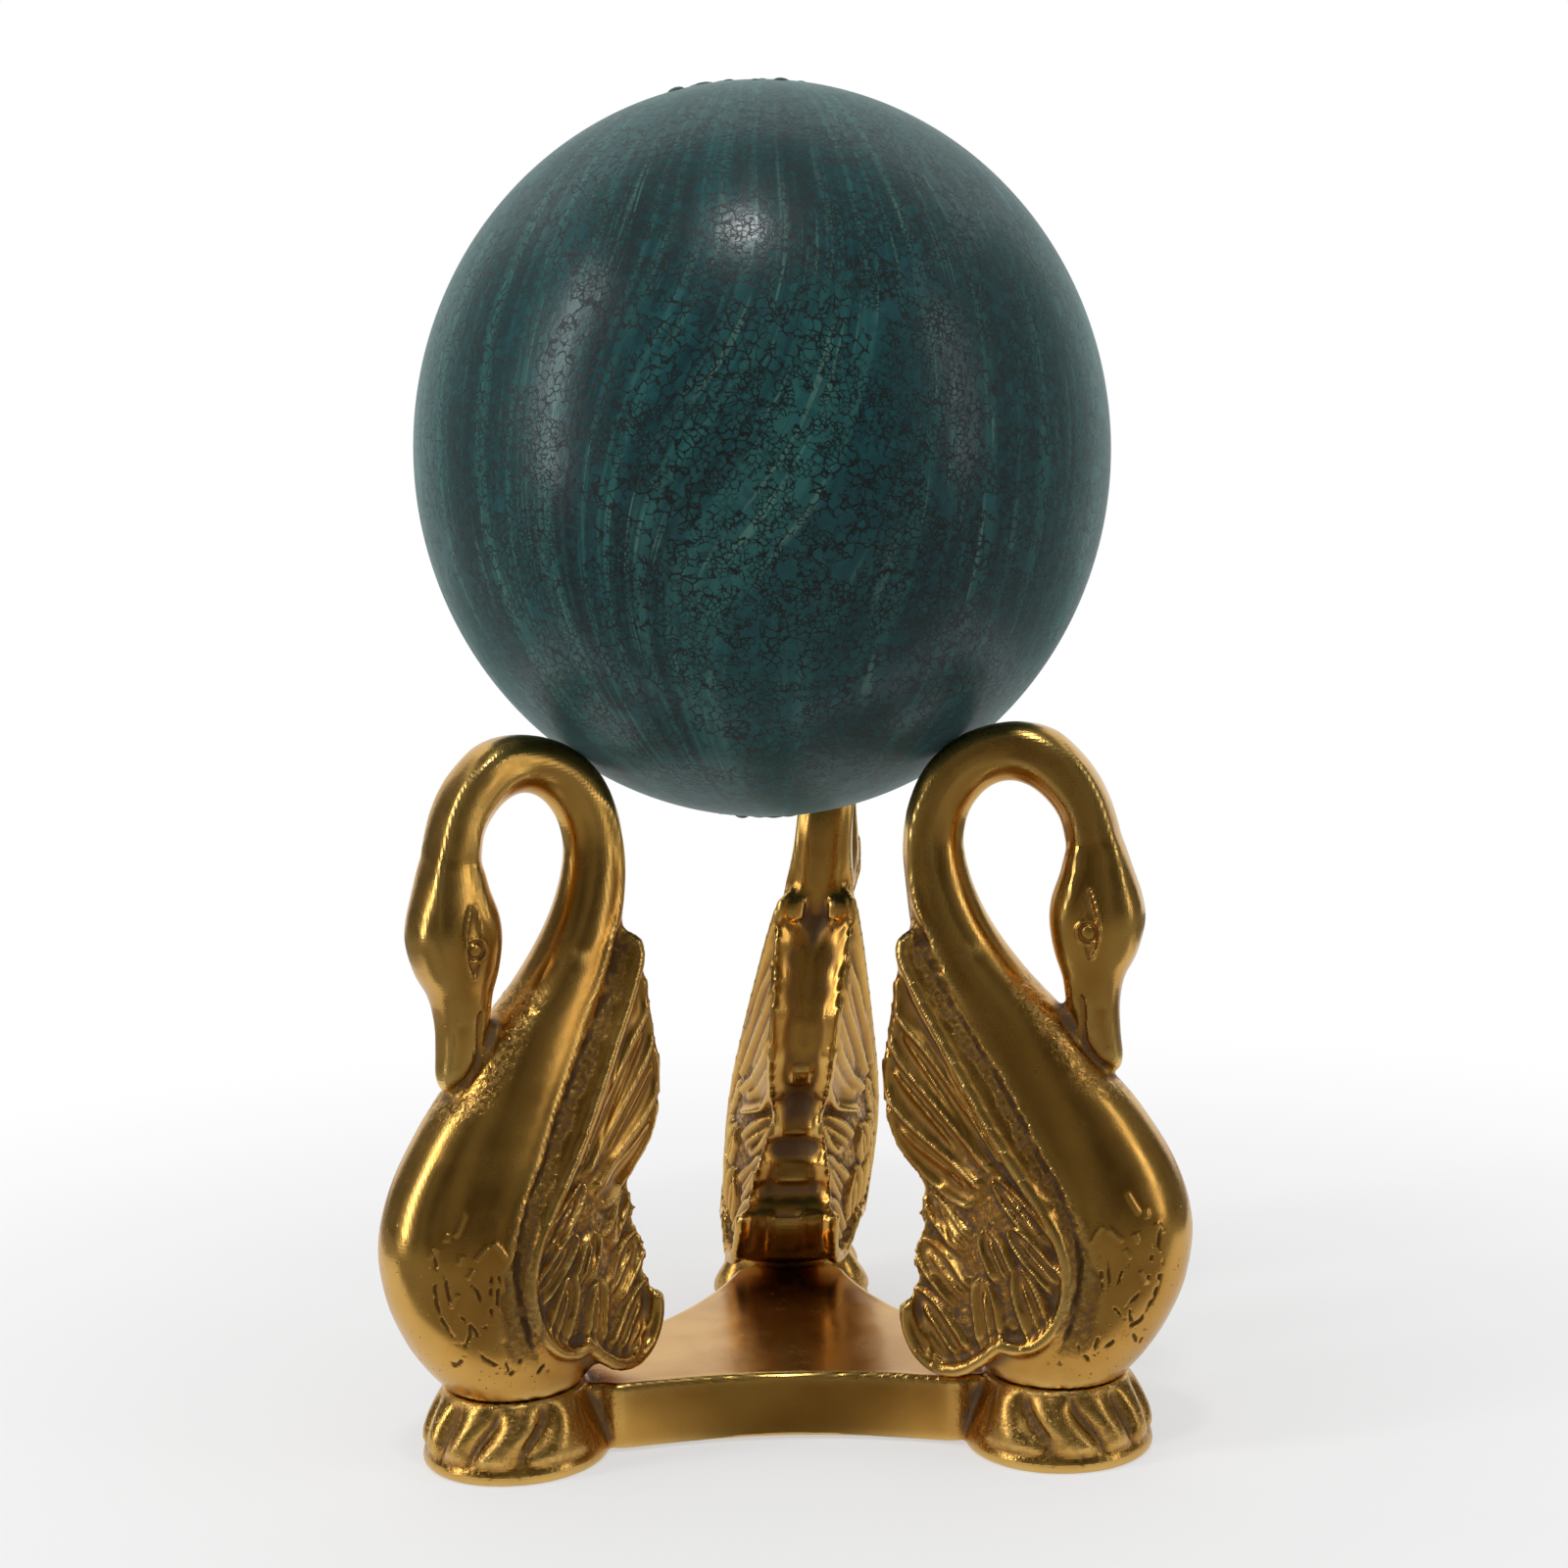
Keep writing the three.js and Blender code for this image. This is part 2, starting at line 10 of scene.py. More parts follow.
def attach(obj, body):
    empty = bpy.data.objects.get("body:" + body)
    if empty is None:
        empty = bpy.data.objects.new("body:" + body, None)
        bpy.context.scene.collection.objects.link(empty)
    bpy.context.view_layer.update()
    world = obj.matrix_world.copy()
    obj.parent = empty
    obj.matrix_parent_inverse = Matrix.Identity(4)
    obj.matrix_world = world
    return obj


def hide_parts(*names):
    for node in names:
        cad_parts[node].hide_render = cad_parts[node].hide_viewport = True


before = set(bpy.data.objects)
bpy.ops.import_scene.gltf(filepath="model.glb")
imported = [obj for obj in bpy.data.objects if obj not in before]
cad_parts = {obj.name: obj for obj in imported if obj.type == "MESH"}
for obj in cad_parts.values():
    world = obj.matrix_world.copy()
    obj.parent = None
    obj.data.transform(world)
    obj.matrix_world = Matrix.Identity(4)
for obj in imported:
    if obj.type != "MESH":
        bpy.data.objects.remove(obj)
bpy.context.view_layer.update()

# Lengths below are millimetres unless a name says otherwise; meshes are in metres
MM = 0.001

# Camera: where the photograph was taken from
CAMERA_PLACE = (9.036, -430.51, 151.48)
CAMERA_YAW, CAMERA_PITCH, CAMERA_ROLL = 0.8791, 4.4452, -1.6502
CAMERA_LENS = 52.096

# Stand: the swans' places on it, and the feet
FOOT_CIRCLE = 56.8
SEAT_HEIGHT = 13.2
SOLE_HEIGHT = -0.6
# Bearing of each swan's foot, its twist about its screw and its sideways lean, in degrees
CORNERS = {"back": (90, -3, -6.8), "front_left": (210, 8, 0), "front_right": (330, 14, 0)}

# Ball
BALL_CENTRE = np.array([0.17, 0.53, 180.066])
BALL_HALF_WIDTH, BALL_HALF_HEIGHT = 65.0, 68.0
BALL_RINGS, BALL_SIDES = 240, 380
PLUG_RADIUS, PLUG_GAP = 4.5, 0.3
PLUG_HOLE_DEPTH, PLUG_STEM = 10, 9.4
# Paint at the poles: its rise over the plug, how far it lies under the skin elsewhere, and the drops' rise
POOL_RISE, POOL_SUNK, DROP_RISE = 0.45, 0.35, 0.7
POOL_RINGS, POOL_SIDES = 110, 240
# Each pool's end, direction, reach, number of drops, seed and the middle that its drops lie about
POOLS = (("top", 1, 22, 44, 4, (-4, -8)), ("bottom", -1, 12, 16, 6, (0, 0)))
# Marbling: how far its lines are drawn to the left at a bearing from the front, and the hairpins' spine
DRAWN_LEFT = np.array([
    (-3.2, 0), (-1.2, 0), (-0.8, 0.05), (-0.52, 0.18), (-0.31, 0.6), (0.1, 0.32), (0.52, 0), (3.2, 0),
])
SPINE_BEARING, SPINE_TOP = 0.75, 0.68

# Swan's neck and body: back outline, front outline (outward, height) and half thickness, then how
# square the section is at its back and at its front, from its seat up over the arch into the head
NECK = np.array([
    [-12, 0, 12.4, 0, 12.4, 0.95, 0.95],
    [-17, 4.5, 16.6, 4.8, 13.6, 0.95, 0.95],
    [-19, 10, 20.3, 10.5, 14.6, 0.95, 0.95],
    [-20, 18, 23.5, 18.3, 15.2, 0.95, 0.95],
    [-20.5, 28, 24.7, 28, 15, 0.94, 0.94],
    [-21, 38, 22, 38, 13.8, 0.92, 0.92],
    [-21.8, 48, 16, 48, 12, 0.9, 0.9],
    [-22.5, 57, 9.8, 55.5, 10.4, 0.86, 0.86],
    [-23.2, 66, 3.5, 64, 9, 0.82, 0.84],
    [-24, 74, -3.5, 71.5, 7.9, 0.78, 0.9],
    [-24.8, 81.5, -9.5, 79.5, 7, 0.74, 1],
    [-25.5, 88.5, -13.2, 87, 6.2, 0.7, 1.1],
    [-25.8, 95, -15, 94.5, 5.7, 0.68, 1.15],
    [-24.6, 102.5, -14.3, 99.8, 5.5, 0.68, 1.15],
    [-21, 109.6, -12, 103.6, 5.4, 0.68, 1.15],
    [-14.5, 114.8, -9.2, 105.7, 5.4, 0.68, 1.15],
    [-6.2, 116.9, -5.9, 106.4, 5.4, 0.68, 1.15],
    [1.3, 115.6, -2.4, 105.2, 5.4, 0.68, 1.15],
    [6.8, 110.9, 0.6, 102.6, 5.4, 0.68, 1.15],
    [10.5, 105.2, 2.7, 99.2, 5.4, 0.68, 1.15],
    [12.7, 98.6, 3.6, 94.6, 5.4, 0.7, 1],
    [14, 91.5, 4, 90, 5.2, 0.72, 1],
])

# Swan's head and beak in the same form, with one squareness for the whole section, from inside the
# neck to the beak's tip on the breast
HEAD = np.array([
    [11.3, 99.5, 5, 96.4, 3.8, 0.72],
    [13.3, 96.2, 3.6, 94, 5.2, 0.72],
    [15.1, 91.2, 2.6, 90.3, 6, 0.74],
    [16.9, 85.5, 0.9, 85.5, 6.9, 0.76],
    [17.2, 81, 0.5, 81, 7.1, 0.78],
    [15.7, 75.6, 1.3, 75.8, 6.4, 0.78],
    [13.4, 71.2, 2.6, 71.4, 5.2, 0.76],
    [12.5, 66.2, 3.3, 66.2, 4.3, 0.72],
    [12.6, 61, 4.9, 61, 3.7, 0.7],
    [12.9, 57.2, 7.2, 57, 2.9, 0.7],
    [12.4, 55, 10, 54.8, 1.5, 0.8],
])

# Web between the throat and the beak, in the head's form
WEB = np.array([
    [-1, 58, 7, 56, 4.2, 0.9],
    [0.2, 62.5, 6, 60.5, 3.6, 0.9],
    [1.3, 65, 4.8, 65, 2.7, 0.9],
    [2.1, 66.4, 4, 66.4, 1.5, 0.9],
])

# Wing's rim (outward, height, sideways), down the front and round under to the rear lobe
RIM = np.array([
    [-25.2, 76.2, 7.8], [-21.4, 68.2, 9.6], [-17, 60.8, 11], [-12.6, 53.2, 12.4], [-8.2, 45.8, 13.7],
    [-3.6, 38.9, 14.8], [0.7, 32.6, 15.5], [3.7, 27, 15.9], [4.9, 21.6, 16], [4.5, 16.6, 15.9],
    [2.5, 12, 15.5], [-1.2, 8.4, 14.9], [-4.6, 7.6, 14.5], [-7.6, 7.7, 14], [-10.4, 5.4, 13.2],
    [-14.6, 2.7, 12.2], [-19.2, 2.1, 11], [-23.2, 4.6, 10], [-25.2, 9, 9.5], [-25.3, 12.8, 9.4],
])

# Wing's scalloped rear edge (outward, height, sideways), from the top corner down to the bottom lobe
REAR_EDGE = np.array([
    [-25.2, 76.2, 7.8], [-26.7, 72, 7.6], [-27.2, 68, 7.2], [-28.2, 63, 6.9], [-29.2, 58, 6.7],
    [-29.6, 53, 6.5], [-29.3, 48, 6.4], [-28.3, 43, 6.2], [-26.3, 39, 5.7], [-23.8, 35.5, 5.2],
    [-22.9, 32.5, 5], [-23.6, 29, 5.8], [-22.8, 26, 6.6], [-24.2, 22.5, 7.4], [-24.2, 19.5, 8],
    [-23.6, 17, 8.4], [-25, 14, 9], [-25.7, 9.5, 9.4], [-24.6, 5.5, 9.6],
])

# The rim's path from the neck, and the width of the smooth band outside it at the path's rows
RIM_PATH = np.concatenate([[(-21.8, 82.6, 4.9), (-23.7, 79.3, 6.5)], RIM])
BAND = np.array([
    1.6, 3.8, 5, 5.2, 5, 4.7, 4.4, 4, 3.4, 2.8, 2.3, 2.1, 2.6, 3.4, 3.8, 3.4, 2.4, 1.7, 1.4, 1.2, 1, 0.8,
])

# Long feathers: the lower edge of each, hooked along the wing's rear edge at its tip, and its rib
FEATHER_EDGES = [np.array(line) for line in (
    [(-26.2, 71.4), (-26.5, 68.2), (-26, 65.4), (-24.2, 63), (-20.6, 59.5), (-16.4, 54.5), (-11.3, 47.4),
     (-6.8, 41.4)],
    [(-26.7, 64.3), (-27.3, 60.9), (-26.6, 58.7), (-25.1, 56.3), (-21.5, 52.5), (-15.9, 46.7),
     (-9.4, 39.6)],
    [(-28.4, 57.3), (-28.9, 54.2), (-28.5, 51), (-27, 48.5), (-24, 45.5), (-18.4, 41.4), (-11.5, 36.4)],
    [(-28.5, 47), (-28.2, 43.7), (-26.9, 40.6), (-24.9, 38.2), (-21.9, 36), (-17.5, 33.2), (-13.5, 32)],
)]
FEATHER_RIBS = [np.array(line) for line in (
    [(-25.9, 71.7), (-23.7, 69), (-21.1, 65.4), (-18.2, 60.9), (-15.4, 56.4), (-12.5, 52.3), (-8.7, 46.4),
     (-4.6, 39.8)],
    [(-26.4, 62.8), (-23.6, 59.3), (-18.8, 53), (-13.4, 46.4), (-9.4, 41)],
    [(-28, 55.8), (-24.9, 52.2), (-18.9, 45.9), (-13.4, 40)],
    [(-27.9, 45.4), (-22.8, 41.3), (-16.8, 37.5), (-12.5, 34.8)],
)]

# Short leaf feathers below them: tip, root (outward, height) and half width
LEAVES = np.array([
    [-21.9, 32, -14.6, 24.6, 2.9],
    [-10.1, 28.4, -6.4, 20, 2.7],
    [-8.3, 37.6, 2.4, 25.6, 2.1],
    [-23.6, 24, -14.8, 15, 3.4],
    [-5.4, 29.2, 3.6, 19.2, 2.3],
    [-10.9, 19.6, -9.3, 7, 2.9],
    [-4, 22.2, 0.4, 8.6, 2.9],
    [-24.6, 15.2, -15.6, 3.6, 4],
])

# Ridge of the body beside the wing, the rough groove between it and the band, and other cast lines
BODY_RIDGE = np.array([
    (-18, 106.5), (-21.4, 103), (-23.4, 96), (-23.6, 90), (-22.6, 85.3), (-20, 79.2), (-16.9, 72.8),
    (-12.3, 66), (-8.2, 58.8), (-4.2, 52.2), (-0.9, 46.4), (2, 41), (5, 36.2), (7.2, 31), (8.6, 26),
    (8.8, 21.7), (8, 16.6), (6.2, 11.5),
])
ROUGH_GROOVE = np.array([
    (-22.8, 83), (-21.3, 78.8), (-18.3, 71.8), (-14.8, 66.1), (-11, 60.2), (-6.9, 53.7), (-3.5, 48.1),
    (-0.4, 42.5), (1.5, 39.3), (3.8, 35.6), (5.8, 30.6), (7, 26.1), (7.2, 21.9), (6.4, 16.5), (4.8, 11),
    (2.6, 6.5),
])
ARCH_RIDGES = [
    np.array([(-7, 114.2), (0.3, 113.4), (7.4, 108.6), (11.6, 99.4), (14, 90.3), (15, 83.6)]),
    np.array([(-12.6, 107), (-8, 109.4), (-2.1, 109.4), (4.6, 102.6), (6.6, 95), (5.2, 87), (3.6, 81.5),
              (4.6, 72)]),
]
THROAT_JOINT = np.array([
    (-4.2, 70.5), (-1.2, 66.4), (1.5, 62.5), (4.5, 58.4), (7.6, 54.8), (10.5, 53.2), (14, 52),
])
BEAK_GROOVE = np.array([(6.3, 69.2), (6.7, 66), (6.7, 60.6), (8.6, 57.2), (11.2, 55.2)])
BEAK_FACET = np.array([(8.3, 66.8), (11.4, 66.2), (11.7, 59.4), (10.4, 58), (8.9, 59.6)])
EYE = np.array([8.3, 80.2])

# Strokes cut by hand into the lower breast, dark and broken, and raised ones that catch the light
CUT_STROKES = [np.array(line) for line in (
    [(20.4, 30.6), (20.1, 26.4), (20.3, 22.2), (19.3, 17.4), (17, 13.3)],
    [(18.8, 16.8), (17, 13), (14.9, 11.6), (11.9, 8.9), (9.8, 7.3), (7.9, 5.3)],
    [(15.3, 16.4), (15.1, 14.1), (15.5, 12.2)],
    [(15.5, 23.8), (14.2, 22), (13.2, 18.6)],
    [(15.3, 10.7), (16.1, 8), (17.5, 11.2)],
    [(10, 10.5), (9.1, 8.1), (8.1, 6)],
    [(11, 7.9), (10.1, 6)],
    [(12.3, 15.9), (13.6, 14.2), (14.6, 13.1)],
    [(10.3, 25), (10.7, 21.6), (10.9, 18.2)],
    [(11.6, 25.3), (12, 20.9), (11.8, 16.4)],
    [(6, 9), (7.4, 6.6), (8.2, 5.5)],
    [(0.6, 4.8), (1.9, 6.4), (3.4, 4.7)],
    [(19.3, 26.9), (18.8, 23.4), (18.1, 19.4)],
    [(17.3, 18.5), (14.8, 15.5), (13.9, 13.9)],
)]
BRIGHT_STROKES = [np.array(line) for line in (
    [(14.6, 36.1), (16, 33.6), (17.2, 31.5)],
    [(17.9, 32.6), (18.4, 30.9)],
    [(19.7, 30.3), (20.8, 27.8)],
    [(14.5, 26), (15.7, 24.1)],
    [(16.9, 22.1), (18.2, 19.2)],
    [(8.8, 26.6), (9.9, 28.8), (11.2, 30.4)],
    [(16.3, 28.8), (16.9, 26.7)],
    [(11.6, 29.9), (13.4, 28.2), (14.4, 27.1)],
)]

# Heights of the feathers' tips on the wing's rear edge
FEATHER_TIPS = (70, 63, 55.5, 46, 31.5, 24, 15)

# Carving of the back: rise, height of the middle, half height, half width and power of the top hollow,
# the square boss, the hollow under it, the cross rib and the dip over that
BACK_FORMS = (
    (-1.3, 72, 3.4, 3, 2), (0.8, 42.4, 2.6, 2.6, 4), (-1.1, 36, 3, 2.8, 2), (0.6, 19.5, 1.1, 4, 2),
    (-0.8, 25.5, 3, 3.4, 2),
)

# Carving of the wings: the long feathers' ground, edges and ribs, and the ground between the leaves
FEATHER_GROUND, FEATHER_EDGE_RISE, FEATHER_EDGE_WIDTH = -0.5, 1.35, 1.15
FEATHER_RIB_RISE, FEATHER_RIB_WIDTH = 0.55, 0.85
LEAF_GROUND = -0.8
TIP_RISE, TIP_HALF_HEIGHT, TIP_SUNK = 0.3, 2.2, 0.15

# Carving of the body: the wing's rim, the rough groove and band, ridges, and strokes on the breast
RIM_RISE, RIM_LOW_RISE, RIM_WIDTH = 0.9, 0.3, 1.25
GROOVE_DEPTH, ROUGH_BAND_DEPTH = 0.55, 0.22
RIDGE_WIDTH, RIDGE_RISE, RIDGE_HIGH_RISE, ARCH_RIDGE_RISE = 0.9, 0.14, 0.3, 0.3
THROAT_WIDTH = 1.7
STROKES_BACK, STROKES_TOP = -1, 39
CUT_WIDTH, CUT_DEPTH, BRIGHT_WIDTH, BRIGHT_RISE = 0.3, 0.22, 0.45, 0.2

# Base: the plate's outline and thickness, and a foot's rings
PLATE_THICKNESS = 12
PAD_HEIGHT = 12.9
SIDE_DISTANCE = 25.5
ARM_WIDTH, ARM_CORNER_INSET = 22, 15.6
CORNER_NOTCH, NOTCH_HALF = 12.2, 7.4
EDGE_ROUNDING = 1.1
SOLE_RADIUS, PAD_RADIUS = 17, 13
SOLE_LIP = 3.2
TOE_CIRCLE, FOOT_CREASE = 15.5, 16.8
TOE_PITCH, TOE_COUNT, TOE_RELIEF = 36, 7, 3.1
TOE_SWING = 20
COUNTERBORE, COUNTERBORE_TOP = 6.55, 6.1
BORE = 3.3

# Fused castings: size of the voxels, and passes of smoothing when fused, when refined and when carved
SWAN_VOXEL, BASE_VOXEL = 0.65, 0.48
FUSED_PASSES, REFINED_PASSES, CARVED_PASSES, BASE_PASSES = 16, 8, 4, 14
# Steps from point to point in the narrow and the wide neighbourhood that hollows are found by
NEAR_STEPS, WIDE_STEPS = 4, 24

# Lamps: name, direction from the aim, distance in metres, width and height in metres, and watts
LAMP_AIM = (0, 0, 0.12)
LAMPS = (
    ("overhead", (-0.04, -0.43, 0.9), 1.0, (0.1, 0.08), 1.7),
    ("left_strip", (-0.92, -0.38, 0.4), 1.08, (0.12, 1.0), 3.4),
    ("right_strip", (0.95, -0.43, 0.3), 1.08, (0.14, 0.8), 1.0),
)
WORLD_LIGHT = 0.7
FLOOR_HALF = 3000

# Cards that stand for the room in the metal's reflections: name, middle, two sides and tone
CARDS = (
    ("front_card", (0, -1300, 900), (2600, 0, 0), (0, 0, 1900), "room_tone"),
    ("left_card", (-1300, -150, 700), (0, 2500, 0), (0, 0, 1400), "room_tone"),
    ("right_card", (1300, -150, 700), (0, 2500, 0), (0, 0, 1400), "room_tone"),
    ("ceiling_card", (0, -500, 1500), (2600, 0, 0), (0, 1700, 0), "room_tone"),
    ("table_card", (0, -682, -0.2), (2600, 0, 0), (0, 1236, 0), "table_tone"),
    ("table_middle_card", (0, -45, -0.2), (60, 0, 0), (0, 38, 0), "table_middle_tone"),
    ("table_left_card", (-775, 318, -0.2), (1050, 0, 0), (0, 764, 0), "table_tone"),
    ("table_right_card", (775, 318, -0.2), (1050, 0, 0), (0, 764, 0), "table_tone"),
)


def spline(points, count):
    """Curve through the points: on each run a cubic whose slope at a point is half the step between
    the points either side of it, sampled evenly by run."""
    points = np.asarray(points, float)
    at = np.linspace(0, len(points) - 1, count)
    run = np.minimum(at.astype(int), len(points) - 2)
    u = (at - run)[:, None]
    ends = np.concatenate([2 * points[:1] - points[1:2], points, 2 * points[-1:] - points[-2:-1]])
    a, b, c, d = (ends[run + k] for k in range(4))
    return b + 0.5 * u * (c - a + u * (2 * a - 5 * b + 4 * c - d + u * (3 * (b - c) + d - a)))


def full_turn(count):
    """That many angles evenly round a circle."""
    return np.linspace(0, 2 * np.pi, count, endpoint=False)


def bell(distance, width):
    """1 at no distance, falling smoothly to nothing over about twice the width."""
    return np.exp(-(distance / width) ** 2)


def in_scene(name, data):
    """A new object of that data, in the scene."""
    made = bpy.data.objects.new(name, data)
    bpy.context.scene.collection.objects.link(made)
    return made


def tube(grid):
    """Points and triangles of rings joined in order, each end closed by a fan to the ring's centre."""
    rings, sides, _ = grid.shape
    index = np.arange(rings * sides).reshape(rings, sides)
    turned = np.roll(index, -1, 1)
    a, b, c, d = index[:-1], turned[:-1], turned[1:], index[1:]
    faces = [np.stack(corners, -1).reshape(-1, 3) for corners in ((a, b, c), (a, c, d))]
    first, last = np.full(sides, rings * sides), np.full(sides, rings * sides + 1)
    faces += [np.stack([first, turned[0], index[0]], -1), np.stack([last, index[-1], turned[-1]], -1)]
    points = np.concatenate([grid.reshape(-1, 3), grid[:1].mean(1), grid[-1:].mean(1)])
    faces = np.concatenate(faces)
    corners = points[faces]
    volume = np.einsum("ij,ij->i", corners[:, 0], np.cross(corners[:, 1], corners[:, 2])).sum()
    return points, faces if volume > 0 else faces[:, ::-1]


def mesh_of(name, points, faces):
    """Mesh in metres from points in millimetres and triangles."""
    mesh = bpy.data.meshes.new(name)
    mesh.vertices.add(len(points))
    mesh.vertices.foreach_set("co", (np.asarray(points) * MM).astype(np.float32).ravel())
    mesh.loops.add(faces.size)
    mesh.loops.foreach_set("vertex_index", faces.astype(np.int32).ravel())
    mesh.polygons.add(len(faces))
    mesh.polygons.foreach_set("loop_start", np.arange(0, faces.size, 3, dtype=np.int32))
    mesh.update(calc_edges=True)
    mesh.validate()
    mesh.shade_smooth()
    return mesh


def joined(parts):
    """Points and triangles of several closed surfaces, one after the other."""
    starts = np.cumsum([0] + [len(points) for points, _ in parts[:-1]])
    points = np.concatenate([points for points, _ in parts])
    return points, np.concatenate([faces + start for (_, faces), start in zip(parts, starts)])


def fused(parts, voxel):
    """One closed skin round overlapping closed surfaces, from a voxel grid."""
    rough = in_scene("rough", mesh_of("rough", *joined(parts)))
    remesh = rough.modifiers.new("skin", "REMESH")
    remesh.mode = "VOXEL"
    remesh.voxel_size = voxel * MM
    mesh = evaluated(rough)
    bpy.data.objects.remove(rough)
    return mesh


def evaluated(piece):
    """A copy of the piece's mesh with its modifiers applied."""
    seen = piece.evaluated_get(bpy.context.evaluated_depsgraph_get())
    return bpy.data.meshes.new_from_object(seen)


def read(items, name, width=1, kind=np.int32):
    """One property of all the items, in rows of that width."""
    values = np.empty(len(items) * width, kind)
    items.foreach_get(name, values)
    return values.reshape(-1, width) if width > 1 else values


def points_of(mesh):
    """The mesh's points in millimetres."""
    return read(mesh.vertices, "co", 3, np.float32).astype(float) / MM


def place_points(mesh, points):
    """Moves the mesh's points to those places, given in millimetres."""
    mesh.vertices.foreach_set("co", (points * MM).astype(np.float32).ravel())
    mesh.update()


def normals_of(mesh):
    """The directions that the skin faces at the mesh's points."""
    return read(mesh.vertex_normals, "vector", 3, np.float32).astype(float)


def neighbour_mean(mesh):
    """A function that gives each point the mean of the values at the points joined to it by an edge."""
    a, b = read(mesh.edges, "vertices", 2).T
    ends, others = np.concatenate([a, b]), np.concatenate([b, a])
    count = np.bincount(ends, minlength=len(mesh.vertices)).clip(1)

    def mean(values):
        columns = values.reshape(len(values), -1).T
        sums = [np.bincount(ends, weights=column[others], minlength=len(values)) for column in columns]
        return np.stack([total / count for total in sums], 1).reshape(values.shape)
    return mean


def smoothed(values, mean, passes):
    """Values drawn towards their neighbours' mean and then pushed back a little more, which takes out
    the voxels' steps and keeps the size."""
    for _ in range(passes):
        values = values + 0.6 * (mean(values) - values)
        values = values - 0.61 * (mean(values) - values)
    return values


def mark(mesh, name, values):
    """Keeps one number for each point on the mesh, for the materials to read."""
    layer = mesh.attributes.new(name, "FLOAT", "POINT")
    layer.data.foreach_set("value", np.asarray(values, np.float32))


def ease(values, low, high):
    """0 below low, 1 above high, and a smooth step between."""
    share = np.clip((values - low) / (high - low), 0, 1)
    return share * share * (3 - 2 * share)


def bump_noise(points, size, seed):
    """Smooth random heights from -1 to 1: random values at the corners of cells of that size, eased
    across each cell."""
    values = np.random.default_rng(seed).uniform(-1, 1, 65536)
    at = points / size
    cell = np.floor(at).astype(np.int64)
    u = at - cell
    u = u * u * (3 - 2 * u)
    total = np.zeros(len(points))
    for corner in np.ndindex(2, 2, 2):
        x, y, z = (cell + corner).T
        share = np.where(corner, u, 1 - u).prod(1)
        total += share * values[(x * 73856093 ^ y * 19349663 ^ z * 83492791) & 65535]
    return total


def to_line(points, line):
    """Distance from each point to a line of straight runs, positive to the left of its travel, and the
    share of the line's runs travelled at the nearest place."""
    step = np.diff(line, axis=0)
    offset = points[:, None, :] - line[:-1]
    share = np.clip((offset * step).sum(2) / (step ** 2).sum(1), 0, 1)
    gap = offset - share[..., None] * step
    distance = np.hypot(gap[..., 0], gap[..., 1])
    near = distance.argmin(1)
    rows = np.arange(len(points))
    side = step[near, 0] * offset[rows, near, 1] - step[near, 1] * offset[rows, near, 0]
    return np.where(side < 0, -1, 1) * distance[rows, near], (near + share[rows, near]) / len(step)


def inside(points, outline):
    """Whether each point lies inside a closed outline, by counting crossings to one side of it."""
    a, b = outline, np.roll(outline, -1, 0)
    height = points[:, 1:]
    spans = (a[:, 1] > height) != (b[:, 1] > height)
    rise = np.where(b[:, 1] == a[:, 1], 1, b[:, 1] - a[:, 1])
    cross = (b[:, 0] - a[:, 0]) * (height - a[:, 1]) / rise + a[:, 0]
    return (spans & (points[:, :1] < cross)).sum(1) % 2 == 1


def oval_body(stations, steps, sides):
    """Ovals carried from the first station to the last: each is centred between the back and front
    outlines, and the cosine and sine of its angle are raised to the station's power, which squares it.
    The last column is the power on the front half."""
    at = spline(stations, steps)
    back, front = at[:, None, 0:2], at[:, None, 2:4]
    angle = full_turn(sides)[None, :]
    half, power = at[:, None, 4], np.where(np.cos(angle) > 0, at[:, None, -1], at[:, None, 5])
    across = np.sign(np.cos(angle)) * np.abs(np.cos(angle)) ** power
    aside = np.sign(np.sin(angle)) * np.abs(np.sin(angle)) ** power
    middle = (back + front) / 2 + across[..., None] * (front - back) / 2
    return tube(np.stack([middle[..., 0], half * aside, middle[..., 1]], -1))


def even(curve, count):
    """The curve's points again, evenly spaced by length."""
    length = np.concatenate([[0], np.cumsum(np.linalg.norm(np.diff(curve, axis=0), axis=1))])
    at = np.linspace(0, length[-1], count)
    return np.stack([np.interp(at, length, column) for column in curve.T], 1)


def body_half(p, z):
    """Half thickness of the body's oval at a place on the flank, from the oval of that height."""
    rise = NECK[:12]
    back, half, power = (np.interp(z, rise[:, 1], rise[:, k]) for k in (0, 4, 5))
    front = np.interp(z, rise[:, 3], rise[:, 2])
    x = np.abs(2 * p - back - front) / (front - back)
    return half * np.clip(1 - x ** (2 / power), 0, 1) ** (power / 2)


def shell(outer, inner, side=1):
    """A closed body between the rows of an outer skin and those of an inner one, on a side of the swan."""
    return tube(np.concatenate([outer, inner[:, ::-1]], 1) * (1, side, 1))


def wing_body(side):
    """Rows from the rear edge to the rim, straight between them or just above the body where that is
    further out, over an inner face set in from the rear edge and sloped away from it."""
    rows, steps = 140, 48
    edge = even(spline(REAR_EDGE, 400), rows)[:, None, :]
    rim = even(spline(RIM, 400), rows)[:, None, :]
    u = np.linspace(0, 1, steps)[None, :, None]
    flat = edge + u * (rim - edge)
    over = body_half(flat[..., 0], flat[..., 1]) + 0.7
    out = np.maximum(flat[..., 2], np.minimum(over, rim[..., 2]))
    outer = np.stack([flat[..., 0], out, flat[..., 1]], -1)
    slope = 1.7 * (1 - u[..., 0]) ** 3
    inner = np.stack([flat[..., 0] + slope, np.repeat(edge[..., 2] - 2.8, steps, 1), flat[..., 1]], -1)
    return shell(outer, inner, side)


